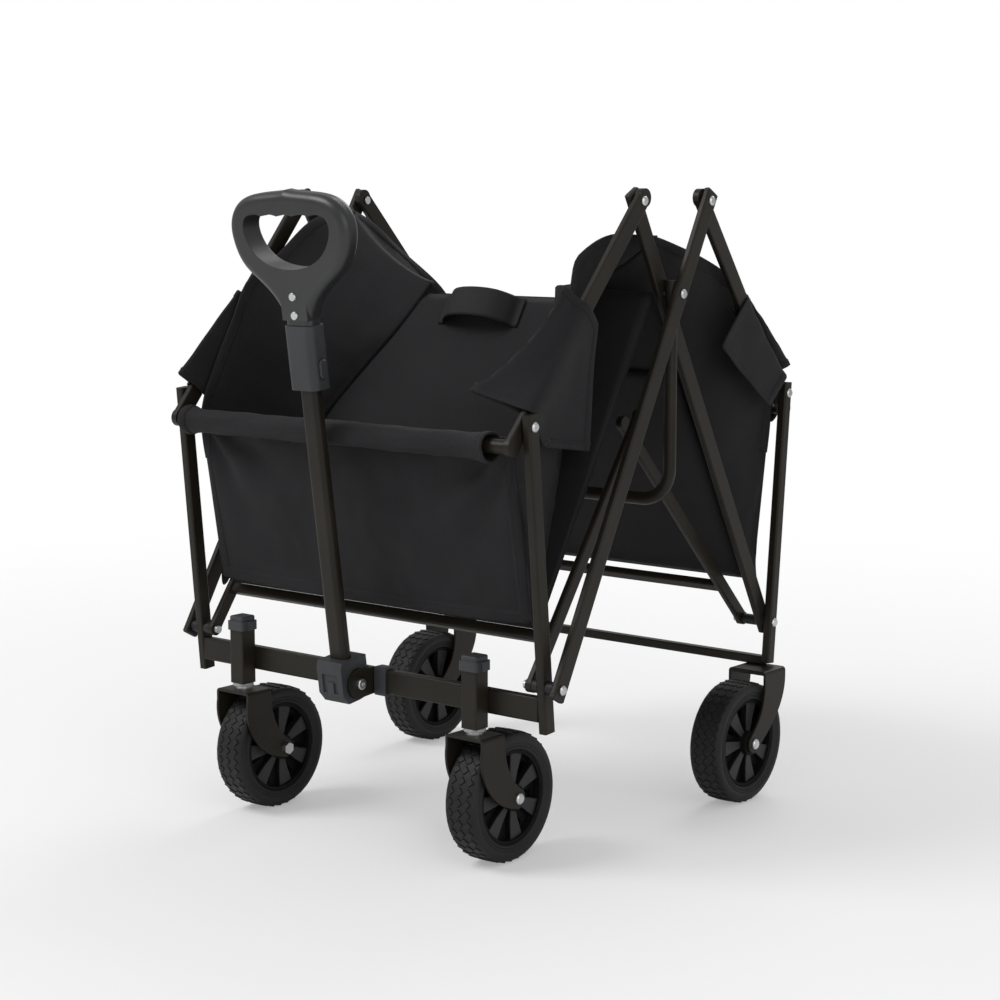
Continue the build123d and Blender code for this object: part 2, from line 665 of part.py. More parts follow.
# D-grip: flared neck, two limbs and an arched bar with finger grooves underneath
grip_half = [
    (19, neck_l + 12.5),
    (27, neck_l + 28.5),
    (53, neck_l + 53.5),
    (75, neck_l + 72),
    (87, neck_l + 97),
    (88, neck_l + 121),
    (76, neck_l + 140),
    (46, neck_l + 151),
    (0, GRIP_TOP),
]
hole_half = [
    (60, neck_l + 126),
    (65, neck_l + 118),
    (62, neck_l + 100),
    (46, neck_l + 81),
    (22, neck_l + 71),
    (0, neck_l + 68.5),
]
finger = 24.0
groove = neck_l + 128
with BuildPart() as handle_grip:
    with BuildSketch(handle_face.offset(-13)):
        with BuildLine():
            right_out = Spline(*grip_half)
            left_out = Spline(*[(-x, y) for x, y in grip_half])
            Line(grip_half[0], (19, neck_l))
            Line((19, neck_l), (-19, neck_l))
            Line((-19, neck_l), (-19, neck_l + 12.5))
        make_face()
        with BuildLine():
            right_in = Spline(*hole_half)
            left_in = Spline(*[(-x, y) for x, y in hole_half])
            for count in range(-2, 3):
                start = ((count - 0.5) * finger, neck_l + 126 if count == -2 else groove - 1)
                stop = ((count + 0.5) * finger, neck_l + 126 if count == 2 else groove - 1)
                ThreePointArc(start, (count * finger, groove + 1), stop)
        make_face(mode=Mode.SUBTRACT)
    extrude(amount=26)
    outline = [
        edge
        for edge in handle_grip.edges()
        if edge.length > 150 and abs((edge @ 0.5).X) > 60
    ]
    fillet(outline, radius=10)
    with BuildSketch(handle_up.offset(neck_l)):
        Rectangle(80, 80)
        RectangleRounded(38, 22, 7.5, mode=Mode.SUBTRACT)
    extrude(amount=12, mode=Mode.SUBTRACT)
    with BuildSketch(handle_up.offset(neck_l)):
        RectangleRounded(inner_w, inner_d, 4.2)
    extrude(amount=COLLAR_HIGH + 45 - neck_l, mode=Mode.SUBTRACT)
    for up in (12, 33):
        with BuildSketch(handle_face.offset(20)):
            with Locations((0, COLLAR_HIGH + up)):
                Circle(2.5)
        extrude(amount=-40, mode=Mode.SUBTRACT)
handle_grip.part.label = "handle_grip"
export_step(handle_grip.part, "parts/handle_grip.step")

# Two rivets that hold the grip on the inner tube
with BuildPart() as grip_rivets:
    for up in (12, 33):
        with BuildSketch(handle_face.offset(-13)):
            with Locations((0, COLLAR_HIGH + up)):
                Circle(2.5)
        extrude(amount=26)
        with BuildSketch(handle_face.offset(13)):
            with Locations((0, COLLAR_HIGH + up)):
                Circle(5)
        extrude(amount=1.8, taper=25)
grip_rivets.part.label = "grip_rivets"
export_step(grip_rivets.part, "parts/grip_rivets.step")

# Rear posts
rear_post = post(REAR_POST_X, 1, REAR_POST_DEEP)
with BuildPart() as rear_posts:
    add(rear_post)
    mirror(about=Plane.YZ)
rear_posts.part.label = "rear_posts"
export_step(rear_posts.part, "parts/rear_posts.step")

# Rear lower bar between the posts, low down over the wheels
rear_bar_half = REAR_POST_X - POST_FLAT / 2
rear_bar_z = 166.5
rear_bar_end = Plane(
    origin=(-rear_bar_half, END_Y - 3.5, rear_bar_z),
    x_dir=(0, 1, 0),
    z_dir=(1, 0, 0),
)
with BuildPart() as rear_lower_bar:
    with BuildSketch(rear_bar_end):
        RectangleRounded(12, 11, 2)
        RectangleRounded(9.6, 8.6, 1, mode=Mode.SUBTRACT)
    extrude(amount=2 * rear_bar_half)
rear_lower_bar.part.label = "rear_lower_bar"
export_step(rear_lower_bar.part, "parts/rear_lower_bar.step")

# Fixed rear forks welded under the posts and the bar
y = REAR_AXLE_Y
rear_ahead = [(y + 23, 148), (y + 22, 131), (y + 15, 110), (y + 2, 93), (y - 8.3, WHEEL_R + 8)]
rear_behind = [(y + 69, 148), (y + 67, 134), (y + 56, 111), (y + 40, 93), (y + 8.5, WHEEL_R - 7.7)]
rear_forks_stamping = fork(REAR_WHEEL_X, y, rear_ahead, rear_behind, 156.0, rear_bar_z - 5.5)
with BuildPart() as rear_forks:
    add(rear_forks_stamping)
    mirror(about=Plane.YZ)
rear_forks.part.label = "rear_forks"
export_step(rear_forks.part, "parts/rear_forks.step")

# Rear axle bolts
rear_axles_bolt = axle_bolt(REAR_WHEEL_X, REAR_AXLE_Y)
with BuildPart() as rear_axles:
    add(rear_axles_bolt)
    mirror(about=Plane.YZ)
rear_axles.part.label = "rear_axles"
export_step(rear_axles.part, "parts/rear_axles.step")

# Long bolts through the rear posts, inner braces and rear floor arms, with the rail rivets
rear_outer = REAR_POST_X + POST_FLAT / 2
rear_bolt = rivet(REAR_ARM_X - FLAT / 2 - 0.5, rear_outer, END_Y, PIVOT_Z, BOLT / 2, 4.5)
rear_rail_rivet = rivet(rear_outer - POST_FLAT + 0.2, rear_outer, RAIL_Y, RAIL_Z, BOLT / 2, 0)
with BuildPart() as rear_frame_bolts:
    add(rear_bolt)
    add(rear_rail_rivet)
    mirror(about=Plane.YZ)
rear_frame_bolts.part.label = "rear_frame_bolts"
export_step(rear_frame_bolts.part, "parts/rear_frame_bolts.step")

# Rear spacers: a washer behind the post, a long tube between inner brace and floor arm
rear_inner = rear_outer - POST_FLAT
washer = ring(INNER_LOW_X + FLAT / 2 + 0.4, rear_inner, END_Y, PIVOT_Z, 7.5, BOLT / 2 + RUN)
long_spacer = ring(
    REAR_ARM_X + FLAT / 2 + 0.4,
    INNER_LOW_X - FLAT / 2 - 0.5,
    END_Y,
    PIVOT_Z,
    6.5,
    BOLT / 2 + RUN,
)
with BuildPart() as rear_pivot_spacers:
    add(washer)
    add(long_spacer)
    mirror(about=Plane.YZ)
rear_pivot_spacers.part.label = "rear_pivot_spacers"
export_step(rear_pivot_spacers.part, "parts/rear_pivot_spacers.step")

# Outer braces, from the front posts' bolts up past the crossing to the rear peaks
pin_fit = BOLT / 2
pin_run = BOLT / 2 + RUN
outer_foot = (OUTER_LOW_X, -END_Y, PIVOT_Z)
outer_peak = (OUTER_PEAK_X, PEAK_Y, PEAK_Z)
outer_cross = (OUTER_CROSS_X, 0, CROSS_Z)
brace_cut = PLUG_REACH - PLUG_HEAD
outer_brace = flat_tube(
    outer_foot,
    outer_peak,
    brace_cut,
    brace_cut,
    [(outer_foot, pin_run), (outer_cross, pin_fit), (outer_peak, pin_fit)],
)
with BuildPart() as outer_braces:
    add(outer_brace)
    mirror(about=Plane.YZ)
outer_braces.part.label = "outer_braces"
export_step(outer_braces.part, "parts/outer_braces.step")

outer_brace_plugs_stopper_low = end_plug(outer_foot, outer_peak, PLUG_REACH)
outer_brace_plugs_stopper_high = end_plug(outer_peak, outer_foot, PLUG_REACH)
with BuildPart() as outer_brace_plugs:
    add(outer_brace_plugs_stopper_low)
    add(outer_brace_plugs_stopper_high)
    mirror(about=Plane.YZ)
outer_brace_plugs.part.label = "outer_brace_plugs"
export_step(outer_brace_plugs.part, "parts/outer_brace_plugs.step")

# Rivets fixed in the outer braces: one at the crossing, one at the rear peak
cross_rivet = rivet(
    INNER_CROSS_X - FLAT / 2 - 0.5,
    OUTER_CROSS_X + FLAT / 2 + 0.15,
    0,
    CROSS_Z,
    BOLT / 2,
    2,
)
rear_peak_rivet = rivet(
    REAR_RAIL_PEAK_X - FLAT / 2 - 0.6,
    OUTER_PEAK_X + FLAT / 2 + 0.15,
    PEAK_Y,
    PEAK_Z,
    BOLT / 2,
    2,
)
with BuildPart() as outer_brace_rivets:
    add(cross_rivet)
    add(rear_peak_rivet)
    mirror(about=Plane.YZ)
outer_brace_rivets.part.label = "outer_brace_rivets"
export_step(outer_brace_rivets.part, "parts/outer_brace_rivets.step")

# Inner braces, from the rear posts' bolts up past the crossing to the front peaks
inner_foot = (INNER_LOW_X, END_Y, PIVOT_Z)
inner_peak = (INNER_PEAK_X, -PEAK_Y, PEAK_Z)
inner_cross = (INNER_CROSS_X, 0, CROSS_Z)
inner_brace = flat_tube(
    inner_foot,
    inner_peak,
    brace_cut,
    brace_cut,
    [(inner_foot, pin_run), (inner_cross, pin_run), (inner_peak, pin_run)],
)
with BuildPart() as inner_braces:
    add(inner_brace)
    mirror(about=Plane.YZ)
inner_braces.part.label = "inner_braces"
export_step(inner_braces.part, "parts/inner_braces.step")

inner_brace_plugs_stopper_low = end_plug(inner_foot, inner_peak, PLUG_REACH)
inner_brace_plugs_stopper_high = end_plug(inner_peak, inner_foot, PLUG_REACH)
with BuildPart() as inner_brace_plugs:
    add(inner_brace_plugs_stopper_low)
    add(inner_brace_plugs_stopper_high)
    mirror(about=Plane.YZ)
inner_brace_plugs.part.label = "inner_brace_plugs"
export_step(inner_brace_plugs.part, "parts/inner_brace_plugs.step")


def rail_link(low, peak, hole):
    """Link of a top rail: tube from past its post to the peak, both ends rounded over."""
    length = (Vector(*peak) - Vector(*low)).length
    way = (Vector(*peak) - Vector(*low)) / length
    corner = Vector(*low) - way * RAIL_OVERHANG
    tip = Vector(*peak) + way * 4.5
    tube = flat_tube(low, peak, RAIL_OVERHANG, 4.5, [])
    with BuildPart() as link:
        add(tube)
        with Locations(across(corner.X, corner.Y, corner.Z), across(tip.X, tip.Y, tip.Z)):
            Cylinder(DEEP / 2, FLAT)
        with Locations(across(*peak)):
            Cylinder(hole, 4 * FLAT, mode=Mode.SUBTRACT)
    return link.part


def rail_bar(low, peak):
    """Cross bar of a top rail: round tube welded between the ends of its links."""
    way = (Vector(*peak) - Vector(*low)).normalized()
    corner = Vector(*low) - way * RAIL_OVERHANG
    half = corner.X - FLAT / 2
    with BuildPart() as bar:
        with BuildSketch(Plane(origin=(-half, corner.Y, corner.Z), z_dir=(1, 0, 0))):
            Circle(8)
            Circle(8 - WALL, mode=Mode.SUBTRACT)
        extrude(amount=2 * half)
    return bar.part


# Front rail: two links from the front peaks down inside the front posts, and the bar between
front_low = (FRONT_RAIL_LOW_X, -RAIL_Y, RAIL_Z)
front_peak = (FRONT_RAIL_PEAK_X, -PEAK_Y, PEAK_Z)
front_link = rail_link(front_low, front_peak, pin_fit)
with BuildPart() as front_rail_links:
    add(front_link)
    mirror(about=Plane.YZ)
front_rail_links.part.label = "front_rail_links"
export_step(front_rail_links.part, "parts/front_rail_links.step")

front_rail_bar_tube = rail_bar(front_low, front_peak)
with BuildPart() as front_rail_bar:
    add(front_rail_bar_tube)
front_rail_bar.part.label = "front_rail_bar"
export_step(front_rail_bar.part, "parts/front_rail_bar.step")

front_peak_rivet = rivet(
    INNER_PEAK_X - FLAT / 2 - 0.5,
    FRONT_RAIL_PEAK_X + FLAT / 2 + 0.15,
    -PEAK_Y,
    PEAK_Z,
    BOLT / 2,
    2,
)
with BuildPart() as front_peak_rivets:
    add(front_peak_rivet)
    mirror(about=Plane.YZ)
front_peak_rivets.part.label = "front_peak_rivets"
export_step(front_peak_rivets.part, "parts/front_peak_rivets.step")

# Rear rail: two links from the rear peaks down inside the rear posts, and the bar between
rear_low = (REAR_RAIL_LOW_X, RAIL_Y, RAIL_Z)
rear_peak = (REAR_RAIL_PEAK_X, PEAK_Y, PEAK_Z)
rear_link = rail_link(rear_low, rear_peak, pin_run)
with BuildPart() as rear_rail_links:
    add(rear_link)
    mirror(about=Plane.YZ)
rear_rail_links.part.label = "rear_rail_links"
export_step(rear_rail_links.part, "parts/rear_rail_links.step")

rear_rail_bar_tube = rail_bar(rear_low, rear_peak)
with BuildPart() as rear_rail_bar:
    add(rear_rail_bar_tube)
rear_rail_bar.part.label = "rear_rail_bar"
export_step(rear_rail_bar.part, "parts/rear_rail_bar.step")

# Centre hoop: a bent tube hung from the crossings, its cross run under the floor
HOOP_R = 7.5
HOOP_DROP = 239.2
HOOP_ABOVE = 15.0
HOOP_BEND = 38.0
hoop_low = CROSS_Z - HOOP_DROP
with BuildPart() as centre_hoop:
    with BuildLine() as hoop_path:
        FilletPolyline(
            (-HOOP_X, 0, CROSS_Z + HOOP_ABOVE),
            (-HOOP_X, 0, hoop_low),
            (HOOP_X, 0, hoop_low),
            (HOOP_X, 0, CROSS_Z + HOOP_ABOVE),
            radius=HOOP_BEND,
        )
    with BuildSketch(Plane(origin=(-HOOP_X, 0, CROSS_Z + HOOP_ABOVE), z_dir=(0, 0, -1))):
        Circle(HOOP_R)
        Circle(HOOP_R - WALL, mode=Mode.SUBTRACT)
    sweep(path=hoop_path.wires()[0])
    with Locations((HOOP_X, 0, CROSS_Z + HOOP_ABOVE - 2), (-HOOP_X, 0, CROSS_Z + HOOP_ABOVE - 2)):
        Cylinder(HOOP_R, 2, align=(Align.CENTER, Align.CENTER, Align.MIN))
    with Locations(across(HOOP_X, 0, CROSS_Z), across(-HOOP_X, 0, CROSS_Z)):
        Cylinder(pin_run, 4 * HOOP_R, mode=Mode.SUBTRACT)
centre_hoop.part.label = "centre_hoop"
export_step(centre_hoop.part, "parts/centre_hoop.step")


def floor_frame(x, end, angle, length, cross):
    """Floor frame hinged on an end frame's bolts: two arms with rounded eyes and a cross bar."""
    run = math.cos(math.radians(angle))
    rise = math.sin(math.radians(angle))
    foot = (x, end * END_Y, PIVOT_Z)
    tip = (x, end * (END_Y - length * run), PIVOT_Z + length * rise)
    bar_at = Plane(
        origin=(-x + FLAT / 2 - 1, end * (END_Y - cross * run), PIVOT_Z + cross * rise),
        x_dir=(0, -end * run, rise),
        z_dir=(1, 0, 0),
    )
    arm = flat_tube(foot, tip, 0, 0, [], ARM_DEEP)
    with BuildPart() as frame:
        add(arm)
        with Locations(across(*foot), across(*tip)):
            Cylinder(ARM_DEEP / 2, FLAT)
        with Locations(across(*foot)):
            Cylinder(pin_run, 4 * FLAT, mode=Mode.SUBTRACT)
        mirror(about=Plane.YZ)
        with BuildSketch(bar_at):
            RectangleRounded(13, 10, 2)
            RectangleRounded(13 - 2 * WALL, 10 - 2 * WALL, 1, mode=Mode.SUBTRACT)
        extrude(amount=2 * x - FLAT + 2)
    return frame.part


# Floor frames, lifted as the wagon folds
front_floor_frame_tubes = floor_frame(FRONT_ARM_X, -1, FRONT_ARM_ANGLE, FRONT_ARM_LENGTH, FRONT_CROSS)
with BuildPart() as front_floor_frame:
    add(front_floor_frame_tubes)
front_floor_frame.part.label = "front_floor_frame"
export_step(front_floor_frame.part, "parts/front_floor_frame.step")

rear_floor_frame_tubes = floor_frame(REAR_ARM_X, 1, REAR_ARM_ANGLE, REAR_ARM_LENGTH, REAR_CROSS)
with BuildPart() as rear_floor_frame:
    add(rear_floor_frame_tubes)
rear_floor_frame.part.label = "rear_floor_frame"
export_step(rear_floor_frame.part, "parts/rear_floor_frame.step")

# Floor mats: padded boards that meet in a ridge at the middle
mat_angle = math.atan2(MAT_RIDGE_Z - MAT_FOOT_Z, -MAT_FOOT_Y)
mat_length = math.hypot(MAT_RIDGE_Z - MAT_FOOT_Z, MAT_FOOT_Y)
front_mat_plane = Plane(
    origin=(0, MAT_FOOT_Y, MAT_FOOT_Z),
    x_dir=(1, 0, 0),
    z_dir=(0, -math.sin(mat_angle), math.cos(mat_angle)),
)
rear_mat_plane = Plane(
    origin=(0, -MAT_FOOT_Y, MAT_FOOT_Z),
    x_dir=(-1, 0, 0),
    z_dir=(0, math.sin(mat_angle), math.cos(mat_angle)),
)


def mat(plane, half, start, stop, thick):
    """One floor board in its cloth cover, lying on the given slope between two distances up it."""
    with BuildPart() as board:
        with BuildSketch(plane.offset(-thick / 2)):
            with Locations((0, (start + stop) / 2)):
                RectangleRounded(2 * half, stop - start, 6)
        extrude(amount=thick)
    return board.part


front_mat_board = mat(front_mat_plane, FRONT_HALF - SEWN, 4, mat_length - 8, MAT_T)
with BuildPart() as front_mat:
    add(front_mat_board)
front_mat.part.label = "front_mat"
export_step(front_mat.part, "parts/front_mat.step")

rear_mat_board = mat(rear_mat_plane, REAR_HALF - SEWN, 4, mat_length - 8 - FLAP, MAT_T)
with BuildPart() as rear_mat:
    add(rear_mat_board)
rear_mat.part.label = "rear_mat"
export_step(rear_mat.part, "parts/rear_mat.step")

# Cloth flap behind the ridge, hinged to the front mat and lapping the rear mat as they move
flap_lift = (MAT_T + FLAP_T) / 2 + SEWN
flap_low = mat_length - 8 - FLAP + SEWN
floor_flap_board = mat(rear_mat_plane.offset(flap_lift), REAR_HALF - SEWN, flap_low, mat_length - 8, FLAP_T)
with BuildPart() as floor_flap:
    add(floor_flap_board)
floor_flap.part.label = "floor_flap"
export_step(floor_flap.part, "parts/floor_flap.step")

# Pull strap: a webbing loop sewn to the front mat near the ridge
strap_half = 62.0
strap_rise = 24.0
strap_plane = Plane(
    origin=front_mat_plane.from_local_coords(Vector(0, mat_length - 52, MAT_T / 2)),
    x_dir=(1, 0, 0),
    z_dir=(0, -math.cos(mat_angle), -math.sin(mat_angle)),
)
with BuildPart() as pull_strap:
    with BuildSketch(strap_plane):
        with BuildLine():
            ThreePointArc((-strap_half, 0), (0, strap_rise), (strap_half, 0))
            Line((strap_half, 0), (strap_half + 18, 0))
            Line((strap_half + 18, 0), (strap_half + 18, 2))
            Line((strap_half + 18, 2), (strap_half, 2))
            ThreePointArc((strap_half, 2), (0, strap_rise + 2), (-strap_half, 2))
            Line((-strap_half, 2), (-strap_half - 18, 2))
            Line((-strap_half - 18, 2), (-strap_half - 18, 0))
            Line((-strap_half - 18, 0), (-strap_half, 0))
        make_face()
    extrude(amount=-38)
pull_strap.part.label = "pull_strap"
export_step(pull_strap.part, "parts/pull_strap.step")


def end_panel(end, half, reach):
    """Cloth panel across an end frame, from under the rail's bar down to its hem, tabbed to the posts."""
    top = Vector(0, end * (RAIL_Y - 0.6), RAIL_Z - 40)
    hem = Vector(0, end * (END_Y - 10.8), PIVOT_Z + 67.6)
    tall = (top - hem).length
    plane = Plane(origin=(top + hem) / 2, x_dir=(1, 0, 0), z_dir=Vector(1, 0, 0).cross(top - hem))
    with BuildPart() as panel:
        with BuildSketch(plane.offset(-CLOTH / 2)):
            RectangleRounded(2 * half, tall, 10)
            with Locations((0, tall * 0.14)):
                RectangleRounded(2 * reach, TAB, 4)
        extrude(amount=CLOTH)
    return panel.part


front_panel_cloth = end_panel(-1, FRONT_HALF - SEWN, FRONT_POST_X - POST_FLAT / 2 - SEWN)
with BuildPart() as front_panel:
    add(front_panel_cloth)
front_panel.part.label = "front_panel"
export_step(front_panel.part, "parts/front_panel.step")

rear_panel_cloth = end_panel(1, REAR_HALF - SEWN, REAR_POST_X - POST_FLAT / 2 - SEWN)
with BuildPart() as rear_panel:
    add(rear_panel_cloth)
rear_panel.part.label = "rear_panel"
export_step(rear_panel.part, "parts/rear_panel.step")


def side_wall(half, end, hem):
    """Half of a cloth side wall: held by its post and hem, it folds in over the lifted mat."""
    side = 1 if half > 0 else -1
    link = Vector(0, PEAK_Y - RAIL_Y, PEAK_Z - RAIL_Z)
    off_link = Vector(0, link.Z, -link.Y).normalized()
    rail_low = Vector(0, RAIL_Y, RAIL_Z) - off_link * HEM_UNDER - link.normalized() * 8
    rail_high = Vector(0, RAIL_Y, RAIL_Z) + off_link * HEM_OVER + link * 0.4
    head = [Vector(0, END_Y - 8, PIVOT_Z + 70), rail_low, rail_high]
    head += [Vector(0, y, CROSS_Z + up) for y, up in hem]
    steps = [(after - before).length for before, after in zip(head, head[1:])]
    slope = Vector(0, MAT_FOOT_Y, MAT_RIDGE_Z - MAT_FOOT_Z).normalized()
    off_mat = Vector(0, slope.Z, -slope.Y)
    lift = (MAT_T / 2 if end < 0 else flap_lift + FLAP_T / 2) + SEWN + 0.7 * CLOTH
    tops = []
    feet = []
    for count, point in enumerate(head):
        share = sum(steps[:count]) / sum(steps)
        foot = Vector(0, -MAT_FOOT_Y, MAT_FOOT_Z) + slope * (mat_length * share) + off_mat * lift
        tuck = FOLD_IN * share**FOLD_CURVE
        tops.append(Vector(half + side * CLOTH / 2, end * point.Y, point.Z))
        feet.append(Vector(half + side * CLOTH / 2 - side * tuck, end * foot.Y, foot.Z))
    with BuildPart() as wall:
        for count, (top, foot) in enumerate(zip(tops, feet)):
            before = max(count - 1, 0)
            after = min(count + 1, len(head) - 1)
            fall = foot - top
            run = tops[after] - tops[before] + feet[after] - feet[before]
            run = run - fall * (run.dot(fall) / fall.dot(fall))
            with BuildSketch(Plane(origin=(top + foot) * 0.5, x_dir=fall, z_dir=run)):
                Rectangle(fall.length, CLOTH)
        loft(ruled=True)
    return wall.part


side_wall_front_right_cloth = side_wall(FRONT_HALF, -1, HEM_RIGHT)
with BuildPart() as side_wall_front_right:
    add(side_wall_front_right_cloth)
side_wall_front_right.part.label = "side_wall_front_right"
export_step(side_wall_front_right.part, "parts/side_wall_front_right.step")

side_wall_front_left_cloth = side_wall(-FRONT_HALF, -1, HEM_LEFT)
with BuildPart() as side_wall_front_left:
    add(side_wall_front_left_cloth)
side_wall_front_left.part.label = "side_wall_front_left"
export_step(side_wall_front_left.part, "parts/side_wall_front_left.step")

side_wall_rear_right_cloth = side_wall(REAR_HALF, 1, HEM_RIGHT)
with BuildPart() as side_wall_rear_right:
    add(side_wall_rear_right_cloth)
side_wall_rear_right.part.label = "side_wall_rear_right"
export_step(side_wall_rear_right.part, "parts/side_wall_rear_right.step")

side_wall_rear_left_cloth = side_wall(-REAR_HALF, 1, HEM_LEFT)
with BuildPart() as side_wall_rear_left:
    add(side_wall_rear_left_cloth)
side_wall_rear_left.part.label = "side_wall_rear_left"
export_step(side_wall_rear_left.part, "parts/side_wall_rear_left.step")
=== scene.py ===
import math
import bmesh
import bpy
import numpy as np
from mathutils import Matrix, Vector, noise


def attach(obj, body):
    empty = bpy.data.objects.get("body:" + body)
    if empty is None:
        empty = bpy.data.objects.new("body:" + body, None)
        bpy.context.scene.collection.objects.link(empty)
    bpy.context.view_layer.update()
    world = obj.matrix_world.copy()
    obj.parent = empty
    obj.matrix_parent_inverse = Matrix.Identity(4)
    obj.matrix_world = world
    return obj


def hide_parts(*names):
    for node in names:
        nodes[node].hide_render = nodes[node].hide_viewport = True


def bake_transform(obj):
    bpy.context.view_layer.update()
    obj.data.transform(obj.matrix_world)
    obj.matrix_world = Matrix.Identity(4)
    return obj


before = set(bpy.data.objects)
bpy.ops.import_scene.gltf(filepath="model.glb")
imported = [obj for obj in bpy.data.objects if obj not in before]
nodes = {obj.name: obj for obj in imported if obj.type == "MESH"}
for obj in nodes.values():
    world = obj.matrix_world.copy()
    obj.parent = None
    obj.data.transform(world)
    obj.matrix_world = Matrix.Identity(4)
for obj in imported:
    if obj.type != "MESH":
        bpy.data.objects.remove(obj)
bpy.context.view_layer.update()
scene = bpy.context.scene

# Studio: a pale seamless floor under broad soft light, and a camera at the photograph's place,
# low and to the front right of the wagon, with a long lens.
CAMERA_AT = Vector((1.70338, -2.06906, 0.74106))
CAMERA_TO = Vector((-0.01979, 0.03930, 0.36619))
LENS_MM = 78.96
SENSOR_MM = 36.0
FLOOR_WIDE = 40.0
FLOOR_TONE = (0.9, 0.9, 0.9, 1)
FLOOR_GLOW = 0.30
GLOW_FROM = 0.45
GLOW_FULL = 2.4
SKY_LEVEL = 0.50
LAMPS = {
    "key_lamp": {"at": (-1.6, -2.2, 3.0), "to": (0, 0, 0.35), "size": 1.6, "watts": 62},
    "fill_lamp": {"at": (2.8, -1.4, 1.6), "to": (0, 0, 0.4), "size": 2.2, "watts": 22},
    "rim_lamp": {"at": (-0.6, 2.6, 2.8), "to": (0, 0, 0.4), "size": 1.8, "watts": 34},
}


def node_tree(name):
    """A new material with its nodes cleared, as (material, add node, link)."""
    material = bpy.data.materials.new(name)
    material.use_nodes = True
    tree = material.node_tree
    tree.nodes.clear()

    def add(kind, **inputs):
        node = tree.nodes.new(kind)
        for key, value in inputs.items():
            node.inputs[key.replace("_", " ")].default_value = value
        return node

    return material, add, tree.links.new


def plain_mesh(name, points, faces, smooth=True):
    """A mesh object at the origin, with its place in its points."""
    mesh = bpy.data.meshes.new(name)
    mesh.from_pydata([tuple(p) for p in points], [], [tuple(f) for f in faces])
    mesh.update()
    mesh.polygons.foreach_set("use_smooth", [smooth] * len(mesh.polygons))
    made = bpy.data.objects.new(name, mesh)
    scene.collection.objects.link(made)
    return made


def studio_floor():
    """Pale floor that takes the wagon's shadow and goes over to plain white further off."""
    material, add, link = node_tree("pale_floor")
    place = add("ShaderNodeTexCoord")
    away = add("ShaderNodeVectorMath")
    away.operation = "LENGTH"
    fade = add("ShaderNodeMapRange")
    fade.interpolation_type = "SMOOTHSTEP"
    fade.inputs["From Min"].default_value = GLOW_FROM
    fade.inputs["From Max"].default_value = GLOW_FULL
    fade.inputs["To Min"].default_value = FLOOR_GLOW
    seen = add("ShaderNodeLightPath")
    amount = add("ShaderNodeMath")
    amount.operation = "MULTIPLY"
    surface = add("ShaderNodeBsdfDiffuse")
    surface.inputs["Color"].default_value = FLOOR_TONE
    glow = add("ShaderNodeEmission", Strength=1.0)
    either = add("ShaderNodeMixShader")
    out = add("ShaderNodeOutputMaterial")
    link(place.outputs["Object"], away.inputs[0])
    link(away.outputs["Value"], fade.inputs["Value"])
    link(fade.outputs["Result"], amount.inputs[0])
    link(seen.outputs["Is Camera Ray"], amount.inputs[1])
    link(amount.outputs["Value"], either.inputs["Fac"])
    link(surface.outputs["BSDF"], either.inputs[1])
    link(glow.outputs["Emission"], either.inputs[2])
    link(either.outputs["Shader"], out.inputs["Surface"])
    half = FLOOR_WIDE / 2
    corners = [(-half, -half, 0), (half, -half, 0), (half, half, 0), (-half, half, 0)]
    floor = plain_mesh("studio_floor", corners, [(0, 1, 2, 3)])
    floor.data.materials.append(material)


def studio_sky():
    """Even white surround, seen at full white and lighting the wagon at a plain level."""
    world = bpy.data.worlds.new("studio_sky")
    world.use_nodes = True
    scene.world = world
    tree = world.node_tree
    tree.nodes.clear()
    seen = tree.nodes.new("ShaderNodeLightPath")
    level = tree.nodes.new("ShaderNodeMapRange")
    level.inputs["To Min"].default_value = SKY_LEVEL
    level.inputs["To Max"].default_value = 1.0
    glow = tree.nodes.new("ShaderNodeBackground")
    glow.inputs["Color"].default_value = (1, 1, 1, 1)
    out = tree.nodes.new("ShaderNodeOutputWorld")
    tree.links.new(seen.outputs["Is Camera Ray"], level.inputs["Value"])
    tree.links.new(level.outputs["Result"], glow.inputs["Strength"])
    tree.links.new(glow.outputs["Background"], out.inputs["Surface"])


def soft_lamp(name, at, to, size, watts):
    """A square soft box turned to a point on the wagon."""
    lamp = bpy.data.lights.new(name, "AREA")
    lamp.size = size
    lamp.energy = watts
    stand = bpy.data.objects.new(name, lamp)
    stand.location = at
    stand.rotation_euler = (Vector(to) - Vector(at)).to_track_quat("-Z", "Y").to_euler()
    scene.collection.objects.link(stand)


studio_floor()
studio_sky()
for lamp_name, lamp_set in LAMPS.items():
    soft_lamp(lamp_name, **lamp_set)
scene.view_settings.view_transform = "Standard"

lens = bpy.data.cameras.new("photo_camera")
lens.lens = LENS_MM
lens.sensor_width = SENSOR_MM
camera = bpy.data.objects.new("photo_camera", lens)
camera.location = CAMERA_AT
camera.rotation_euler = (CAMERA_TO - CAMERA_AT).to_track_quat("-Z", "Y").to_euler()
scene.collection.objects.link(camera)
scene.camera = camera

# Steel frame: posts, bars, crossed braces, rails, hoop, floor frames, forks and handle tube,
# bent and welded from thin tube and plate, then powder coated in a dark olive brown.
PAINT = (0.0122, 0.0100, 0.0066)
PAINT_LIGHT = (0.0175, 0.0146, 0.0098)
PAINTED = [
    "front_posts", "front_lower_bar", "caster_sockets", "handle_bracket", "outer_braces",
    "inner_braces", "rear_posts", "rear_lower_bar", "rear_forks", "centre_hoop", "front_rail_links",
    "front_rail_bar", "rear_rail_links", "rear_rail_bar", "front_floor_frame", "rear_floor_frame",
    "caster_fork_left", "caster_fork_right", "handle_outer_tube",
]
CLOUD_SCALE = 14.0
CLOUD_DARK = 0.35
CLOUD_PALE = 0.65
GLOSS_SPREAD = 0.06
GRAIN_DEEP = 0.0006
EDGE_ROUND = 0.0011


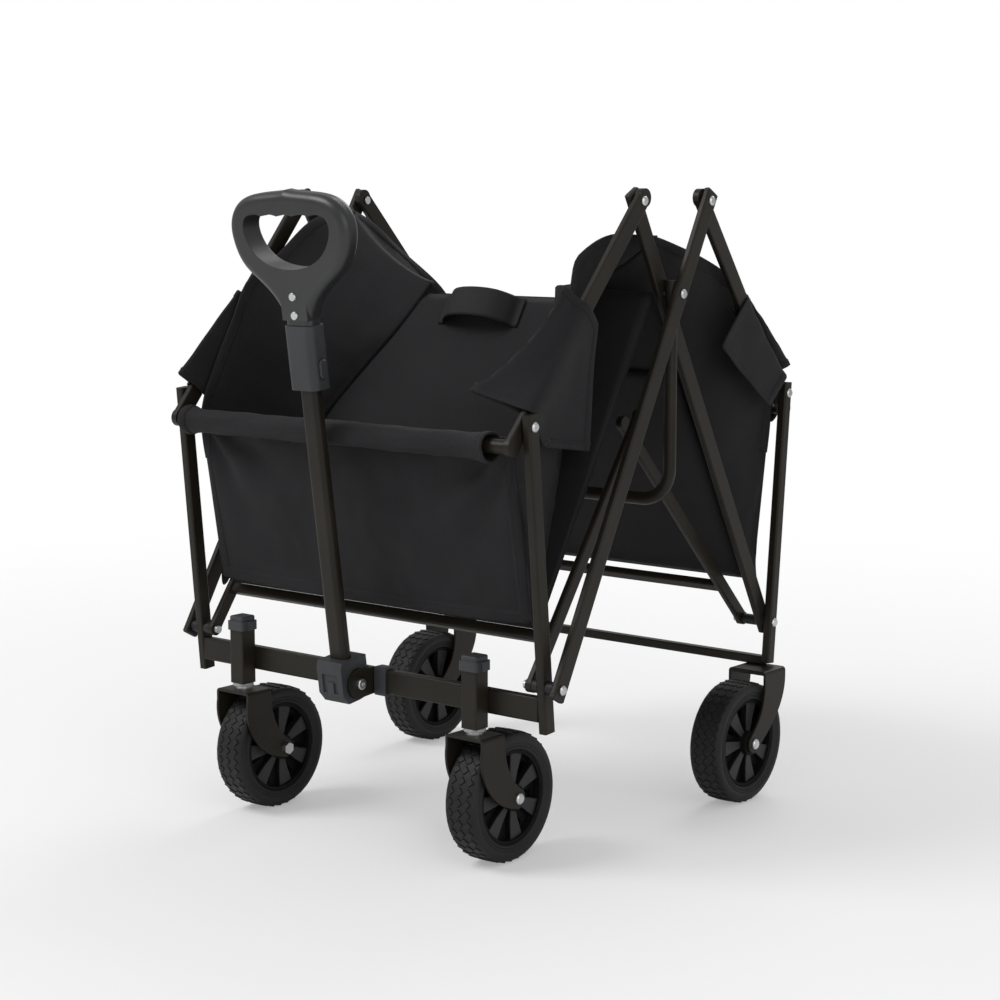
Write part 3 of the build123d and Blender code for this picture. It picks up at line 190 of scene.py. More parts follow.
def hard_finish(name, dark, light, rough, grain, bump, metal=0.0, shine=0.3):
    """Paint, moulded plastic or plated metal: two close tones, uneven gloss and a fine grain."""
    material, add, link = node_tree(name)
    place = add("ShaderNodeTexCoord")
    cloud = add("ShaderNodeTexNoise", Scale=CLOUD_SCALE, Detail=4.0)
    tone = add("ShaderNodeMixRGB")
    tone.inputs["Color1"].default_value = (*dark, 1)
    tone.inputs["Color2"].default_value = (*light, 1)
    spread = add("ShaderNodeMapRange")
    spread.inputs["From Min"].default_value = CLOUD_DARK
    spread.inputs["From Max"].default_value = CLOUD_PALE
    gloss = add("ShaderNodeMapRange")
    gloss.inputs["To Min"].default_value = rough - GLOSS_SPREAD
    gloss.inputs["To Max"].default_value = rough + GLOSS_SPREAD
    pits = add("ShaderNodeTexNoise", Scale=grain, Detail=3.0)
    relief = add("ShaderNodeBump", Strength=bump, Distance=GRAIN_DEEP)
    edge = add("ShaderNodeBevel", Radius=EDGE_ROUND)
    edge.samples = 6
    surface = add("ShaderNodeBsdfPrincipled", Metallic=metal, Specular_IOR_Level=shine)
    out = add("ShaderNodeOutputMaterial")
    link(place.outputs["Object"], cloud.inputs["Vector"])
    link(place.outputs["Object"], pits.inputs["Vector"])
    link(cloud.outputs["Fac"], spread.inputs["Value"])
    link(spread.outputs["Result"], tone.inputs["Fac"])
    link(tone.outputs["Color"], surface.inputs["Base Color"])
    link(cloud.outputs["Fac"], gloss.inputs["Value"])
    link(gloss.outputs["Result"], surface.inputs["Roughness"])
    link(pits.outputs["Fac"], relief.inputs["Height"])
    link(edge.outputs["Normal"], relief.inputs["Normal"])
    link(relief.outputs["Normal"], surface.inputs["Normal"])
    link(surface.outputs["BSDF"], out.inputs["Surface"])
    return material


def dress(names, material):
    """Gives CAD nodes their finish."""
    for name in names:
        node = nodes[name]
        node.data.materials.clear()
        node.data.materials.append(material)


powder_coat = hard_finish("powder_coat", PAINT, PAINT_LIGHT, rough=0.40, grain=900.0, bump=0.25, shine=0.22)
dress(PAINTED, powder_coat)

# Fasteners: zinc-plated bolts, rivets, axle bolts and stems, and the pale nylon bushes that the
# caster stems turn in.
ZINC = (0.52, 0.53, 0.54)
ZINC_LIGHT = (0.68, 0.69, 0.70)
NYLON = (0.30, 0.30, 0.29)
NYLON_LIGHT = (0.36, 0.36, 0.35)
zinc_plate = hard_finish(
    "zinc_plate", ZINC, ZINC_LIGHT, rough=0.34, grain=1400.0, bump=0.2, metal=1.0, shine=0.5
)
dress(
    ["front_frame_bolts", "rear_frame_bolts", "outer_brace_rivets", "front_peak_rivets", "rear_axles",
     "front_axle_left", "front_axle_right", "caster_stem_left", "caster_stem_right", "grip_rivets"],
    zinc_plate,
)
nylon = hard_finish("nylon", NYLON, NYLON_LIGHT, rough=0.5, grain=700.0, bump=0.15)
dress(["caster_bushes"], nylon)

# Moulded plastic: socket caps, bar sleeves, handle knuckle, inner tube, collar and its buttons in
# dark grey with a fine grain, and the tubes' end plugs and pivot spacers in black.
MOULDED = (0.0330, 0.0345, 0.0370)
MOULDED_LIGHT = (0.0440, 0.0460, 0.0490)
STOPPER = (0.0120, 0.0120, 0.0125)
STOPPER_LIGHT = (0.0190, 0.0190, 0.0200)
moulded_grey = hard_finish("moulded_grey", MOULDED, MOULDED_LIGHT, rough=0.45, grain=1500.0, bump=0.35)
stopper_black = hard_finish("stopper_black", STOPPER, STOPPER_LIGHT, rough=0.5, grain=1200.0, bump=0.3)
dress(
    ["caster_caps", "handle_bar_sleeves", "handle_knuckle", "handle_collar", "collar_button_left",
     "collar_button_right", "handle_inner_tube"],
    moulded_grey,
)
dress(["outer_brace_plugs", "inner_brace_plugs", "front_pivot_spacers", "rear_pivot_spacers"], stopper_black)

# Wheels: a foam tyre with a diamond tread, pressed on a moulded seven-spoke rim. The tread
# blocks are one truncated pyramid set round the tyre in rows, each row half a step from the next.
WHEELS = {
    "front_left": (-0.1825, -0.2080),
    "front_right": (0.1825, -0.2080),
    "rear_left": (-0.2514, 0.1695),
    "rear_right": (0.2514, 0.1695),
}
WHEEL_R = 0.075
TYRE_PROFILE = [
    (-0.0176, 0.0542), (-0.0196, 0.0552), (-0.0202, 0.0562), (-0.0202, 0.0574), (-0.0191, 0.0580),
    (-0.0191, 0.0589), (-0.0204, 0.0596), (-0.0206, 0.0608), (-0.0198, 0.0614), (-0.0198, 0.0622),
    (-0.0209, 0.0630), (-0.0213, 0.0650), (-0.0212, 0.0676), (-0.0205, 0.0702), (-0.0190, 0.0722),
    (-0.0155, 0.0735), (-0.0090, 0.0740), (0.0, 0.0741),
]
TYRE_AROUND = 96
BLOCKS_ROUND = 38
BLOCK_ROWS = 5
ROW_PITCH = 0.0061
BLOCK_SIZE = 0.0055
BLOCK_TOP = 0.86
BLOCK_HIGH = 0.0020
SHOULDER_DROP = 0.0004
SPOKES = 7
SPOKE_LAYERS = ((0.0066, 0.0), (0.0138, 0.0), (0.0148, 0.81))
SPOKE_OUTLINE = ((0.0142, 15.0), (0.0320, 12.6), (0.0505, 11.6))
HUB_R = 0.02
HUB_RISE = 0.0012
TOP_FACING = 0.3
RUBBER = (0.0085, 0.0085, 0.0090)
RUBBER_LIGHT = (0.0150, 0.0150, 0.0155)
RIM_GREY = (0.0210, 0.0212, 0.0220)
RIM_LIGHT = (0.0290, 0.0292, 0.0300)
# Near-black painted shade for the spokes' sides and the CAD rim behind them, so the windows between the
# spokes look dark.
RIM_PAINTED_SHADE = (0.0040, 0.0040, 0.0042)


def field(tree, kind, **values):
    """A geometry node with its plain input values set."""
    node = tree.nodes.new(kind)
    for key, value in values.items():
        node.inputs[key.replace("_", " ")].default_value = value
    return node


def shape_tree(name, sockets):
    """A new geometry node tree with named inputs, as (tree, group input, group output)."""
    tree = bpy.data.node_groups.new(name, "GeometryNodeTree")
    tree.interface.new_socket("Geometry", in_out="INPUT", socket_type="NodeSocketGeometry")
    for label, kind in sockets:
        tree.interface.new_socket(label, in_out="INPUT", socket_type=kind)
    tree.interface.new_socket("Geometry", in_out="OUTPUT", socket_type="NodeSocketGeometry")
    return tree, tree.nodes.new("NodeGroupInput"), tree.nodes.new("NodeGroupOutput")


def grown(base, tree, values):
    """The base object with its geometry nodes applied as plain mesh."""
    modifier = base.modifiers.new("shape", "NODES")
    modifier.node_group = tree
    for item in tree.interface.items_tree:
        if item.in_out == "INPUT" and item.name in values:
            modifier[item.identifier] = values[item.name]
    bpy.context.view_layer.update()
    result = bpy.data.meshes.new_from_object(base.evaluated_get(bpy.context.evaluated_depsgraph_get()))
    base.modifiers.remove(modifier)
    old = base.data
    base.data = result
    bpy.data.meshes.remove(old)
    return base


def tread_tree():
    """Rows of diamond blocks standing on a ring about the X axis, joined to the tyre body."""
    tree, given, result = shape_tree(
        "diamond_tread",
        [("Blocks Round", "NodeSocketInt"), ("Tread Radius", "NodeSocketFloat"),
         ("Row Pitch", "NodeSocketFloat"), ("Block Size", "NodeSocketFloat"),
         ("Block Height", "NodeSocketFloat"), ("Rubber", "NodeSocketMaterial")],
    )
    join = tree.nodes.new("GeometryNodeJoinGeometry")
    tree.links.new(given.outputs["Geometry"], join.inputs["Geometry"])
    block = field(tree, "GeometryNodeMeshCone", Vertices=4)
    top = tree.nodes.new("ShaderNodeMath")
    top.operation = "MULTIPLY"
    top.inputs[1].default_value = BLOCK_TOP
    tree.links.new(given.outputs["Block Size"], top.inputs[0])
    tree.links.new(given.outputs["Block Size"], block.inputs["Radius Bottom"])
    tree.links.new(top.outputs["Value"], block.inputs["Radius Top"])
    tree.links.new(given.outputs["Block Height"], block.inputs["Depth"])
    for row in range(BLOCK_ROWS):
        side = row - (BLOCK_ROWS - 1) / 2
        drop = SHOULDER_DROP if row in (0, BLOCK_ROWS - 1) else 0.0
        radius = tree.nodes.new("ShaderNodeMath")
        radius.operation = "SUBTRACT"
        radius.inputs[1].default_value = drop
        ring = tree.nodes.new("GeometryNodeMeshCircle")
        across = tree.nodes.new("ShaderNodeMath")
        across.operation = "MULTIPLY"
        across.inputs[1].default_value = side
        shift = tree.nodes.new("ShaderNodeCombineXYZ")
        turn = (row % 2) * math.pi / BLOCKS_ROUND
        stand = field(tree, "GeometryNodeTransform", Rotation=(turn, math.pi / 2, 0))
        place = tree.nodes.new("GeometryNodeInputPosition")
        flat = tree.nodes.new("ShaderNodeVectorMath")
        flat.operation = "MULTIPLY"
        flat.inputs[1].default_value = (0, 1, 1)
        face = tree.nodes.new("FunctionNodeAlignRotationToVector")
        face.axis = "Z"
        face.pivot_axis = "X"
        copies = tree.nodes.new("GeometryNodeInstanceOnPoints")
        tree.links.new(given.outputs["Tread Radius"], radius.inputs[0])
        tree.links.new(given.outputs["Blocks Round"], ring.inputs["Vertices"])
        tree.links.new(radius.outputs["Value"], ring.inputs["Radius"])
        tree.links.new(given.outputs["Row Pitch"], across.inputs[0])
        tree.links.new(across.outputs["Value"], shift.inputs["X"])
        tree.links.new(ring.outputs["Mesh"], stand.inputs["Geometry"])
        tree.links.new(shift.outputs["Vector"], stand.inputs["Translation"])
        tree.links.new(stand.outputs["Geometry"], copies.inputs["Points"])
        tree.links.new(block.outputs["Mesh"], copies.inputs["Instance"])
        tree.links.new(place.outputs["Position"], flat.inputs[0])
        tree.links.new(flat.outputs["Vector"], face.inputs["Vector"])
        tree.links.new(face.outputs["Rotation"], copies.inputs["Rotation"])
        tree.links.new(copies.outputs["Instances"], join.inputs["Geometry"])
    real = tree.nodes.new("GeometryNodeRealizeInstances")
    paint = tree.nodes.new("GeometryNodeSetMaterial")
    tree.links.new(join.outputs["Geometry"], real.inputs["Geometry"])
    tree.links.new(real.outputs["Geometry"], paint.inputs["Geometry"])
    tree.links.new(given.outputs["Rubber"], paint.inputs["Material"])
    tree.links.new(paint.outputs["Geometry"], result.inputs["Geometry"])
    return tree


def tyre_body(name):
    """The tyre's lathed body about the X axis, closed round the rim seat."""
    outline = TYRE_PROFILE + [(-x, r) for x, r in reversed(TYRE_PROFILE[:-1])]
    points = []
    for k in range(TYRE_AROUND):
        a = 2 * math.pi * k / TYRE_AROUND
        points += [(x, r * math.cos(a), r * math.sin(a)) for x, r in outline]
    n = len(outline)
    faces = []
    for k in range(TYRE_AROUND):
        m = (k + 1) % TYRE_AROUND
        for i in range(n):
            j = (i + 1) % n
            faces.append((k * n + i, k * n + j, m * n + j, m * n + i))
    return plain_mesh(name, points, faces)


def spoke_faces(name):
    """Raised faces of the broad spokes on both sides of the rim, about the X axis. Layers are
    (place on the axle, degrees drawn in), the outline (radius, half spread in degrees)."""
    points, faces = [], []
    ring = 2 * len(SPOKE_OUTLINE)
    for side in (-1, 1):
        for k in range(SPOKES):
            turn = 2 * math.pi * (k + 0.5) / SPOKES
            foot = len(points)
            for x, inset in SPOKE_LAYERS:
                for r, spread in SPOKE_OUTLINE:
                    out = side * (x + HUB_RISE * (r < HUB_R))
                    for way in (-1, 1):
                        a = turn + way * math.radians(spread - inset)
                        points.append((out, r * math.cos(a), r * math.sin(a)))
            for layer in range(2):
                low, high = foot + ring * layer, foot + ring * (layer + 1)
                for i, j in ((0, 2), (2, 4), (4, 5), (5, 3), (3, 1), (1, 0)):
                    face = (low + i, low + j, high + j, high + i)
                    faces.append(face if side > 0 else face[::-1])
            top = foot + 2 * ring
            for face in ((top, top + 2, top + 3, top + 1), (top + 2, top + 4, top + 5, top + 3)):
                faces.append(face if side > 0 else face[::-1])
    made = plain_mesh(name, points, faces, smooth=False)
    shape = bmesh.new()
    shape.from_mesh(made.data)
    bmesh.ops.recalc_face_normals(shape, faces=shape.faces)
    shape.to_mesh(made.data)
    shape.free()
    return made


rubber = hard_finish("rubber", RUBBER, RUBBER_LIGHT, rough=0.55, grain=1100.0, bump=0.4)
rim_grey = hard_finish("rim_grey", RIM_GREY, RIM_LIGHT, rough=0.48, grain=1300.0, bump=0.3)
rim_painted_shade = hard_finish("rim_painted_shade", RIM_PAINTED_SHADE, RUBBER, rough=0.6, grain=1300.0, bump=0.3, shine=0.1)
diamond_tread = tread_tree()
for corner, (wheel_x, wheel_y) in WHEELS.items():
    tyre = grown(tyre_body("tyre_" + corner + "_soft"), diamond_tread, {
        "Blocks Round": BLOCKS_ROUND, "Tread Radius": WHEEL_R - BLOCK_HIGH, "Row Pitch": ROW_PITCH,
        "Block Size": BLOCK_SIZE, "Block Height": BLOCK_HIGH, "Rubber": rubber,
    })
    tyre.data.transform(Matrix.Translation((wheel_x, wheel_y, WHEEL_R)))
    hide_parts("tyre_" + corner)
    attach(tyre, "wheel_" + corner)
    spokes = spoke_faces("rim_spokes_" + corner)
    spokes.data.materials.append(rim_grey)
    spokes.data.materials.append(rim_painted_shade)
    # Faces turned out along the axle get the rim's grey; the spokes' sides get the near-black painted shade.
    for face in spokes.data.polygons:
        face.material_index = 0 if abs(face.normal.x) > TOP_FACING else 1
    spokes.data.transform(Matrix.Translation((wheel_x, wheel_y, WHEEL_R)))
    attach(spokes, "wheel_" + corner)
# The CAD rim, seen through the windows between the spokes, is painted near-black as painted shade.
dress(["rim_" + corner for corner in WHEELS], rim_painted_shade)

# Grip: an arched D of satin dark plastic on a flared neck, pushed on the inner tube and pinned
# there by two rivets.
GRIP_DARK = (0.0195, 0.0200, 0.0212)
GRIP_LIGHT = (0.0255, 0.0262, 0.0276)
grip_satin = hard_finish("grip_satin", GRIP_DARK, GRIP_LIGHT, rough=0.34, grain=1200.0, bump=0.3, shine=0.5)
dress(["handle_grip"], grip_satin)

# Front panel: coated polyester sewn to the side walls, with a doubled hem at the foot and its
# head tucked under the rail sleeve. It hangs between the front posts, a little full.
CLOTH = (0.0105, 0.0098, 0.0112)
CLOTH_LIGHT = (0.0180, 0.0170, 0.0190)
CLOTH_THICK = 0.0012
THREAD = 0.0009
WEAVE_STRENGTH = 0.35
WEAVE_DEEP = 0.35
SLUB_SCALE = 420.0
SLUB_SHARE = 0.55
PATCH_SCALE = 9.0
PATCH_DARK = 0.35
PATCH_PALE = 0.95
YARN = (0.030, 0.029, 0.031)
YARN_LIGHT = (0.042, 0.041, 0.043)
STITCH_PITCH = 0.0042
STITCH_LONG = 0.0030
STITCH_THICK = 0.0008
STITCH_AT = 0.72
STITCH_PROUD = 0.0001
TAPE_SECTION = [
    (-0.16, 0.0), (-0.10, 0.72), (0.05, 1.0), (0.93, 1.0), (1.0, 0.6), (1.0, -0.6), (0.93, -1.0),
    (0.05, -1.0), (-0.10, -0.72),
]
FOLD_OCTAVES = ((1.0, 1.0), (0.45, 2.3), (0.2, 5.1))
SEED_STEP = 7.31
TINY = 1e-9
PANEL_LOW = (0.2255, 0.2825)
PANEL_HIGH = (0.2615, 0.4880)
PANEL_TALL = 0.21
PANEL_FULL = 0.006
FULL_TO = 1.05
EDGE_HOLD = 9
HEM_SAG = 0.004
HEM_WIDE = 0.013
HEM_THICK = 0.0030
PULL_FOLDS = 11
PULL_REACH = 0.055
PULL_DEEP = 0.16
PULL_NEAR = 0.001


def woven(name, dark, light, thread, rough=0.72):
    """Plain-woven coated cloth: crossed threads in relief, slubs, and soft dusty patches."""
    material, add, link = node_tree(name)
    place = add("ShaderNodeUVMap")
    place.uv_map = "weave"
    solid = add("ShaderNodeTexCoord")
    across = add("ShaderNodeTexWave", Scale=0.5 / thread, Distortion=0.6, Detail=1.0)
    across.bands_direction = "X"
    along = add("ShaderNodeTexWave", Scale=0.5 / thread, Distortion=0.6, Detail=1.0)
    along.bands_direction = "Y"
    pick = add("ShaderNodeMath")
    pick.operation = "MAXIMUM"
    slub = add("ShaderNodeTexNoise", Scale=SLUB_SCALE, Detail=3.0)
    patch = add("ShaderNodeTexNoise", Scale=PATCH_SCALE, Detail=5.0)
    blend = add("ShaderNodeMath")
    blend.operation = "MULTIPLY_ADD"
    blend.inputs[1].default_value = SLUB_SHARE
    spread = add("ShaderNodeMapRange")
    spread.inputs["From Min"].default_value = PATCH_DARK
    spread.inputs["From Max"].default_value = PATCH_PALE
    tone = add("ShaderNodeMixRGB")
    tone.inputs["Color1"].default_value = (*dark, 1)
    tone.inputs["Color2"].default_value = (*light, 1)
    relief = add("ShaderNodeBump", Strength=WEAVE_STRENGTH, Distance=thread * WEAVE_DEEP)
    surface = add("ShaderNodeBsdfPrincipled", Roughness=rough, Specular_IOR_Level=0.16, Sheen_Weight=0.03)
    out = add("ShaderNodeOutputMaterial")
    link(place.outputs["UV"], across.inputs["Vector"])
    link(place.outputs["UV"], along.inputs["Vector"])
    link(solid.outputs["Object"], slub.inputs["Vector"])
    link(solid.outputs["Object"], patch.inputs["Vector"])
    link(across.outputs["Fac"], pick.inputs[0])
    link(along.outputs["Fac"], pick.inputs[1])
    link(slub.outputs["Fac"], blend.inputs[0])
    link(patch.outputs["Fac"], blend.inputs[2])
    link(blend.outputs["Value"], spread.inputs["Value"])
    link(spread.outputs["Result"], tone.inputs["Fac"])
    link(tone.outputs["Color"], surface.inputs["Base Color"])
    link(pick.outputs["Value"], relief.inputs["Height"])
    link(relief.outputs["Normal"], surface.inputs["Normal"])
    link(surface.outputs["BSDF"], out.inputs["Surface"])
    return material


def normals_of(grid):
    """Unit normals of a grid of points, by its two directions."""
    side = np.cross(np.gradient(grid, axis=1), np.gradient(grid, axis=0))
    size = np.linalg.norm(side, axis=2, keepdims=True)
    return side / np.maximum(size, TINY)


def cloth_shell(name, grid, thick, material):
    """A closed sheet through a grid of points: both faces, its cut edge, and a weave map in metres."""
    grid = np.asarray(grid, float)
    rows, cols = grid.shape[:2]
    lift = normals_of(grid) * thick / 2
    points = np.concatenate([(grid + lift).reshape(-1, 3), (grid - lift).reshape(-1, 3)])
    run = np.zeros((rows, cols))
    fall = np.zeros((rows, cols))
    run[:, 1:] = np.cumsum(np.linalg.norm(np.diff(grid, axis=1), axis=2), axis=1)
    fall[1:, :] = np.cumsum(np.linalg.norm(np.diff(grid, axis=0), axis=2), axis=0)
    one = rows * cols
    faces = []
    for r in range(rows - 1):
        for c in range(cols - 1):
            a, b, d, e = r * cols + c, r * cols + c + 1, (r + 1) * cols + c + 1, (r + 1) * cols + c
            faces.append((a, b, d, e))
            faces.append((one + a, one + e, one + d, one + b))
    skin = len(faces)
    ring = list(range(cols)) + [r * cols + cols - 1 for r in range(1, rows)]
    ring += [(rows - 1) * cols + c for c in range(cols - 2, -1, -1)]
    ring += [r * cols for r in range(rows - 2, 0, -1)]
    for k, a in enumerate(ring):
        b = ring[(k + 1) % len(ring)]
        faces.append((a, one + a, one + b, b))
    made = plain_mesh(name, points, faces)
    for k in range(skin, len(faces)):
        made.data.polygons[k].use_smooth = False
    weave = made.data.uv_layers.new(name="weave")
    flat = np.stack([run.ravel(), fall.ravel()], axis=1)
    flat = np.concatenate([flat, flat])
    corner = np.zeros(len(made.data.loops), np.int32)
    made.data.loops.foreach_get("vertex_index", corner)
    weave.data.foreach_set("uv", flat[corner].astype(np.float32).ravel())
    made.data.materials.append(material)
    return made


def rumple(grid, size, along, across, seed, hold):
    """Soft folds pushed along the normals, fading at the sewn edges."""
    grid = np.asarray(grid, float)
    rows, cols = grid.shape[:2]
    normal = normals_of(grid)
    for r in range(rows):
        for c in range(cols):
            v, s = r / (rows - 1), c / (cols - 1)
            fade = min(1.0, s / hold, (1 - s) / hold) * min(1.0, v / hold, (1 - v) / hold)
            spot = Vector((s * across, v * along, seed * SEED_STEP))
            wave = sum(part * noise.noise(spot * scale) for part, scale in FOLD_OCTAVES)
            grid[r, c] += normal[r, c] * size * fade * wave
    return grid


def tape(name, edge, inward, wide, thick):
    """Folded binding round a cloth edge: a flat closed band along the edge and its cloth, and the
    two lines along which it is stitched."""
    edge = np.asarray(edge, float)
    inward = np.asarray(inward, float)
    run = np.gradient(edge, axis=0)
    run /= np.linalg.norm(run, axis=1, keepdims=True)
    inward = inward - (inward * run).sum(1, keepdims=True) * run
    inward /= np.maximum(np.linalg.norm(inward, axis=1, keepdims=True), TINY)
    out = np.cross(run, inward)
    points = []
    for k in range(len(edge)):
        points += [edge[k] + inward[k] * wide * a + out[k] * thick / 2 * b for a, b in TAPE_SECTION]
    n = len(TAPE_SECTION)
    faces = [tuple(range(n - 1, -1, -1)), tuple((len(edge) - 1) * n + i for i in range(n))]
    for k in range(len(edge) - 1):
        for i in range(n):
            j = (i + 1) % n
            faces.append((k * n + i, k * n + j, (k + 1) * n + j, (k + 1) * n + i))
    made = plain_mesh(name, points, faces)
    weave = made.data.uv_layers.new(name="weave")
    reach = np.concatenate([[0], np.cumsum(np.linalg.norm(np.diff(edge, axis=0), axis=1))])
    for loop in made.data.loops:
        k, i = divmod(loop.vertex_index, n)
        weave.data[loop.index].uv = (reach[k], TAPE_SECTION[i][0] * wide)
    made.data.materials.append(cloth)
    proud = thick / 2 + STITCH_PROUD
    return made, [edge + inward * wide * STITCH_AT + out * way * proud for way in (1, -1)]


def stitch_tree():
    """Short beads of thread set along every line of a mesh of lines."""
    tree, given, result = shape_tree(
        "stitch_row",
        [("Stitch Pitch", "NodeSocketFloat"), ("Stitch Length", "NodeSocketFloat"),
         ("Thread", "NodeSocketFloat"), ("Yarn", "NodeSocketMaterial")],
    )
    curve = tree.nodes.new("GeometryNodeMeshToCurve")
    spots = tree.nodes.new("GeometryNodeCurveToPoints")
    spots.mode = "LENGTH"
    bead = field(tree, "GeometryNodeMeshUVSphere", Segments=6, Rings=4, Radius=0.5)
    size = tree.nodes.new("ShaderNodeCombineXYZ")
    copies = tree.nodes.new("GeometryNodeInstanceOnPoints")
    real = tree.nodes.new("GeometryNodeRealizeInstances")
    paint = tree.nodes.new("GeometryNodeSetMaterial")
    tree.links.new(given.outputs["Geometry"], curve.inputs["Mesh"])
    tree.links.new(curve.outputs["Curve"], spots.inputs["Curve"])
    tree.links.new(given.outputs["Stitch Pitch"], spots.inputs["Length"])
    tree.links.new(given.outputs["Thread"], size.inputs["X"])
    tree.links.new(given.outputs["Thread"], size.inputs["Y"])
    tree.links.new(given.outputs["Stitch Length"], size.inputs["Z"])
    tree.links.new(spots.outputs["Points"], copies.inputs["Points"])
    tree.links.new(spots.outputs["Rotation"], copies.inputs["Rotation"])
    tree.links.new(bead.outputs["Mesh"], copies.inputs["Instance"])
    tree.links.new(size.outputs["Vector"], copies.inputs["Scale"])
    tree.links.new(copies.outputs["Instances"], real.inputs["Geometry"])
    tree.links.new(real.outputs["Geometry"], paint.inputs["Geometry"])
    tree.links.new(given.outputs["Yarn"], paint.inputs["Material"])
    tree.links.new(paint.outputs["Geometry"], result.inputs["Geometry"])
    return tree


def stitches(name, lines):
    """Rows of stitches along the given lines, as one plain mesh."""
    points, edges = [], []
    for line in lines:
        edges += [(len(points) + k, len(points) + k + 1) for k in range(len(line) - 1)]
        points += [tuple(point) for point in line]
    mesh = bpy.data.meshes.new(name)
    mesh.from_pydata(points, edges, [])
    base = bpy.data.objects.new(name, mesh)
    scene.collection.objects.link(base)
    return grown(base, stitch_row, {
        "Stitch Pitch": STITCH_PITCH, "Stitch Length": STITCH_LONG, "Thread": STITCH_THICK, "Yarn": yarn,
    })


def trimmed(edges, wide, thick, sewn_name):
    """Bindings along edges, each given with the cloth beside it, and their stitches."""
    bands, lines = [], []
    for name, edge, inside in edges:
        band, rows = tape(name, edge, inside - edge, wide, thick)
        bands.append(band)
        lines += rows
    return bands + [stitches(sewn_name, lines)]


def end_cloth(end, half):
    """End panel from its hem up behind the rail bar, with folds drawn to its top corners."""
    cols, rows = 84, 48
    across = np.linspace(-half, half, cols)
    grid = np.zeros((rows, cols, 3))
    for r in range(rows):
        v = r / (rows - 1)
        y = PANEL_HIGH[0] + (PANEL_LOW[0] - PANEL_HIGH[0]) * v
        z = PANEL_HIGH[1] + (PANEL_LOW[1] - PANEL_HIGH[1]) * v
        full = math.sin(math.pi * min(1.0, v * FULL_TO)) * PANEL_FULL
        hold = min(1.0, v * EDGE_HOLD) * min(1.0, (1 - v) * EDGE_HOLD)
        for c in range(cols):
            bow = 1 - (across[c] / half) ** 4
            drawn = 0.0
            for corner in (-half, half):
                far = math.hypot(across[c] - corner, PANEL_TALL * v)
                turn = math.atan2(PANEL_TALL * v, abs(across[c] - corner) + PULL_NEAR)
                drawn += math.sin(PULL_FOLDS * turn + end) * far * math.exp(-far / PULL_REACH) * PULL_DEEP
            grid[r, c] = (across[c], end * (y + full * bow + drawn * hold), z - HEM_SAG * bow * v)
    if end < 0:
        grid = grid[:, ::-1]
    return rumple(grid, size=0.0075, along=1.3, across=3.6, seed=3 + end, hold=0.10)


def hang_panel(end, name, half):
    """An end panel with its foot hem, side seams and their stitches, fixed to its end frame."""
    grid = end_cloth(end, half)
    panel = cloth_shell(name + "_panel_soft", grid, CLOTH_THICK, cloth)
    edges = [
        (name + "_panel_hem", grid[-1], grid[-3]),
        (name + "_panel_seam_left", grid[:, 0], grid[:, 2]),
        (name + "_panel_seam_right", grid[:, -1], grid[:, -3]),
    ]
    trims = trimmed(edges, HEM_WIDE, HEM_THICK, name + "_panel_stitches")
    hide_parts(name + "_panel")
    for piece in [panel] + trims:
        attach(piece, name + "_frame")


cloth = woven("coated_cloth", CLOTH, CLOTH_LIGHT, THREAD)
stitch_row = stitch_tree()
yarn = hard_finish("sewing_thread", YARN, YARN_LIGHT, rough=0.7, grain=2500.0, bump=0.2, shine=0.1)
hang_panel(-1, "front", half=0.2405)

# Rear panel: the same cloth and cut as the front one, a little narrower, hung between the rear
# posts with its head tucked under the rear rail's sleeve.
hang_panel(1, "rear", half=0.2365)

# Rail sleeves: a loose tube of the same cloth round each end bar, sewn along its underside and
# open at the ends, where it is turned back in a hem.
BAR_Y = 0.2794
BAR_Z = 0.4800
SLEEVE_R = 0.0138
SLEEVE_WAVE = 0.0016
SLEEVE_DROP = 0.0015
SEAM_AT = -90
SEAM_TO_SEAM = 358
WAVES_LONG = 22
WAVES_ROUND = 1.3
FINE_SHARE = 0.5
FINE_SCALE = 2.1
MOUTH_FLARE = 0.0025
MOUTH_PART = 18
MOUTH_HEM = 0.010
SLEEVES = {
    "front": {"end": -1, "low_x": -0.240, "high_x": 0.227, "seed": 2.0},
    "rear": {"end": 1, "low_x": -0.224, "high_x": 0.224, "seed": 5.0},
}


def sleeve(end, low_x, high_x, seed):
    """Loose cloth tube round an end bar, wrinkled, with its seam underneath."""
    cols, rows = 90, 30
    grid = np.zeros((rows, cols, 3))
    for c in range(cols):
        s = c / (cols - 1)
        x = low_x + (high_x - low_x) * s
        flare = MOUTH_FLARE * (max(0.0, 1 - s * MOUTH_PART) + max(0.0, 1 - (1 - s) * MOUTH_PART))
        for r in range(rows):
            a = math.radians(SEAM_AT + SEAM_TO_SEAM * r / (rows - 1))
            spot = Vector((x * WAVES_LONG, WAVES_ROUND * math.cos(a), WAVES_ROUND * math.sin(a) + seed))
            wave = noise.noise(spot) + FINE_SHARE * noise.noise(spot * FINE_SCALE)
            reach = SLEEVE_R + SLEEVE_WAVE * wave + flare
            low = BAR_Z - SLEEVE_DROP
            grid[r, c] = (x, end * BAR_Y + reach * math.cos(a), low + reach * math.sin(a))
    return grid[:, ::-1]


for name, cut in SLEEVES.items():
    tube = sleeve(**cut)
    piece = cloth_shell(name + "_sleeve", tube, CLOTH_THICK, cloth)
    edges = [
        (name + "_sleeve_hem_left", tube[:, -1], tube[:, -3]),
        (name + "_sleeve_hem_right", tube[:, 0], tube[:, 2]),
    ]
    trims = trimmed(edges, MOUTH_HEM, HEM_THICK, name + "_sleeve_stitches")
    for part in [piece] + trims:
        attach(part, name + "_rail")

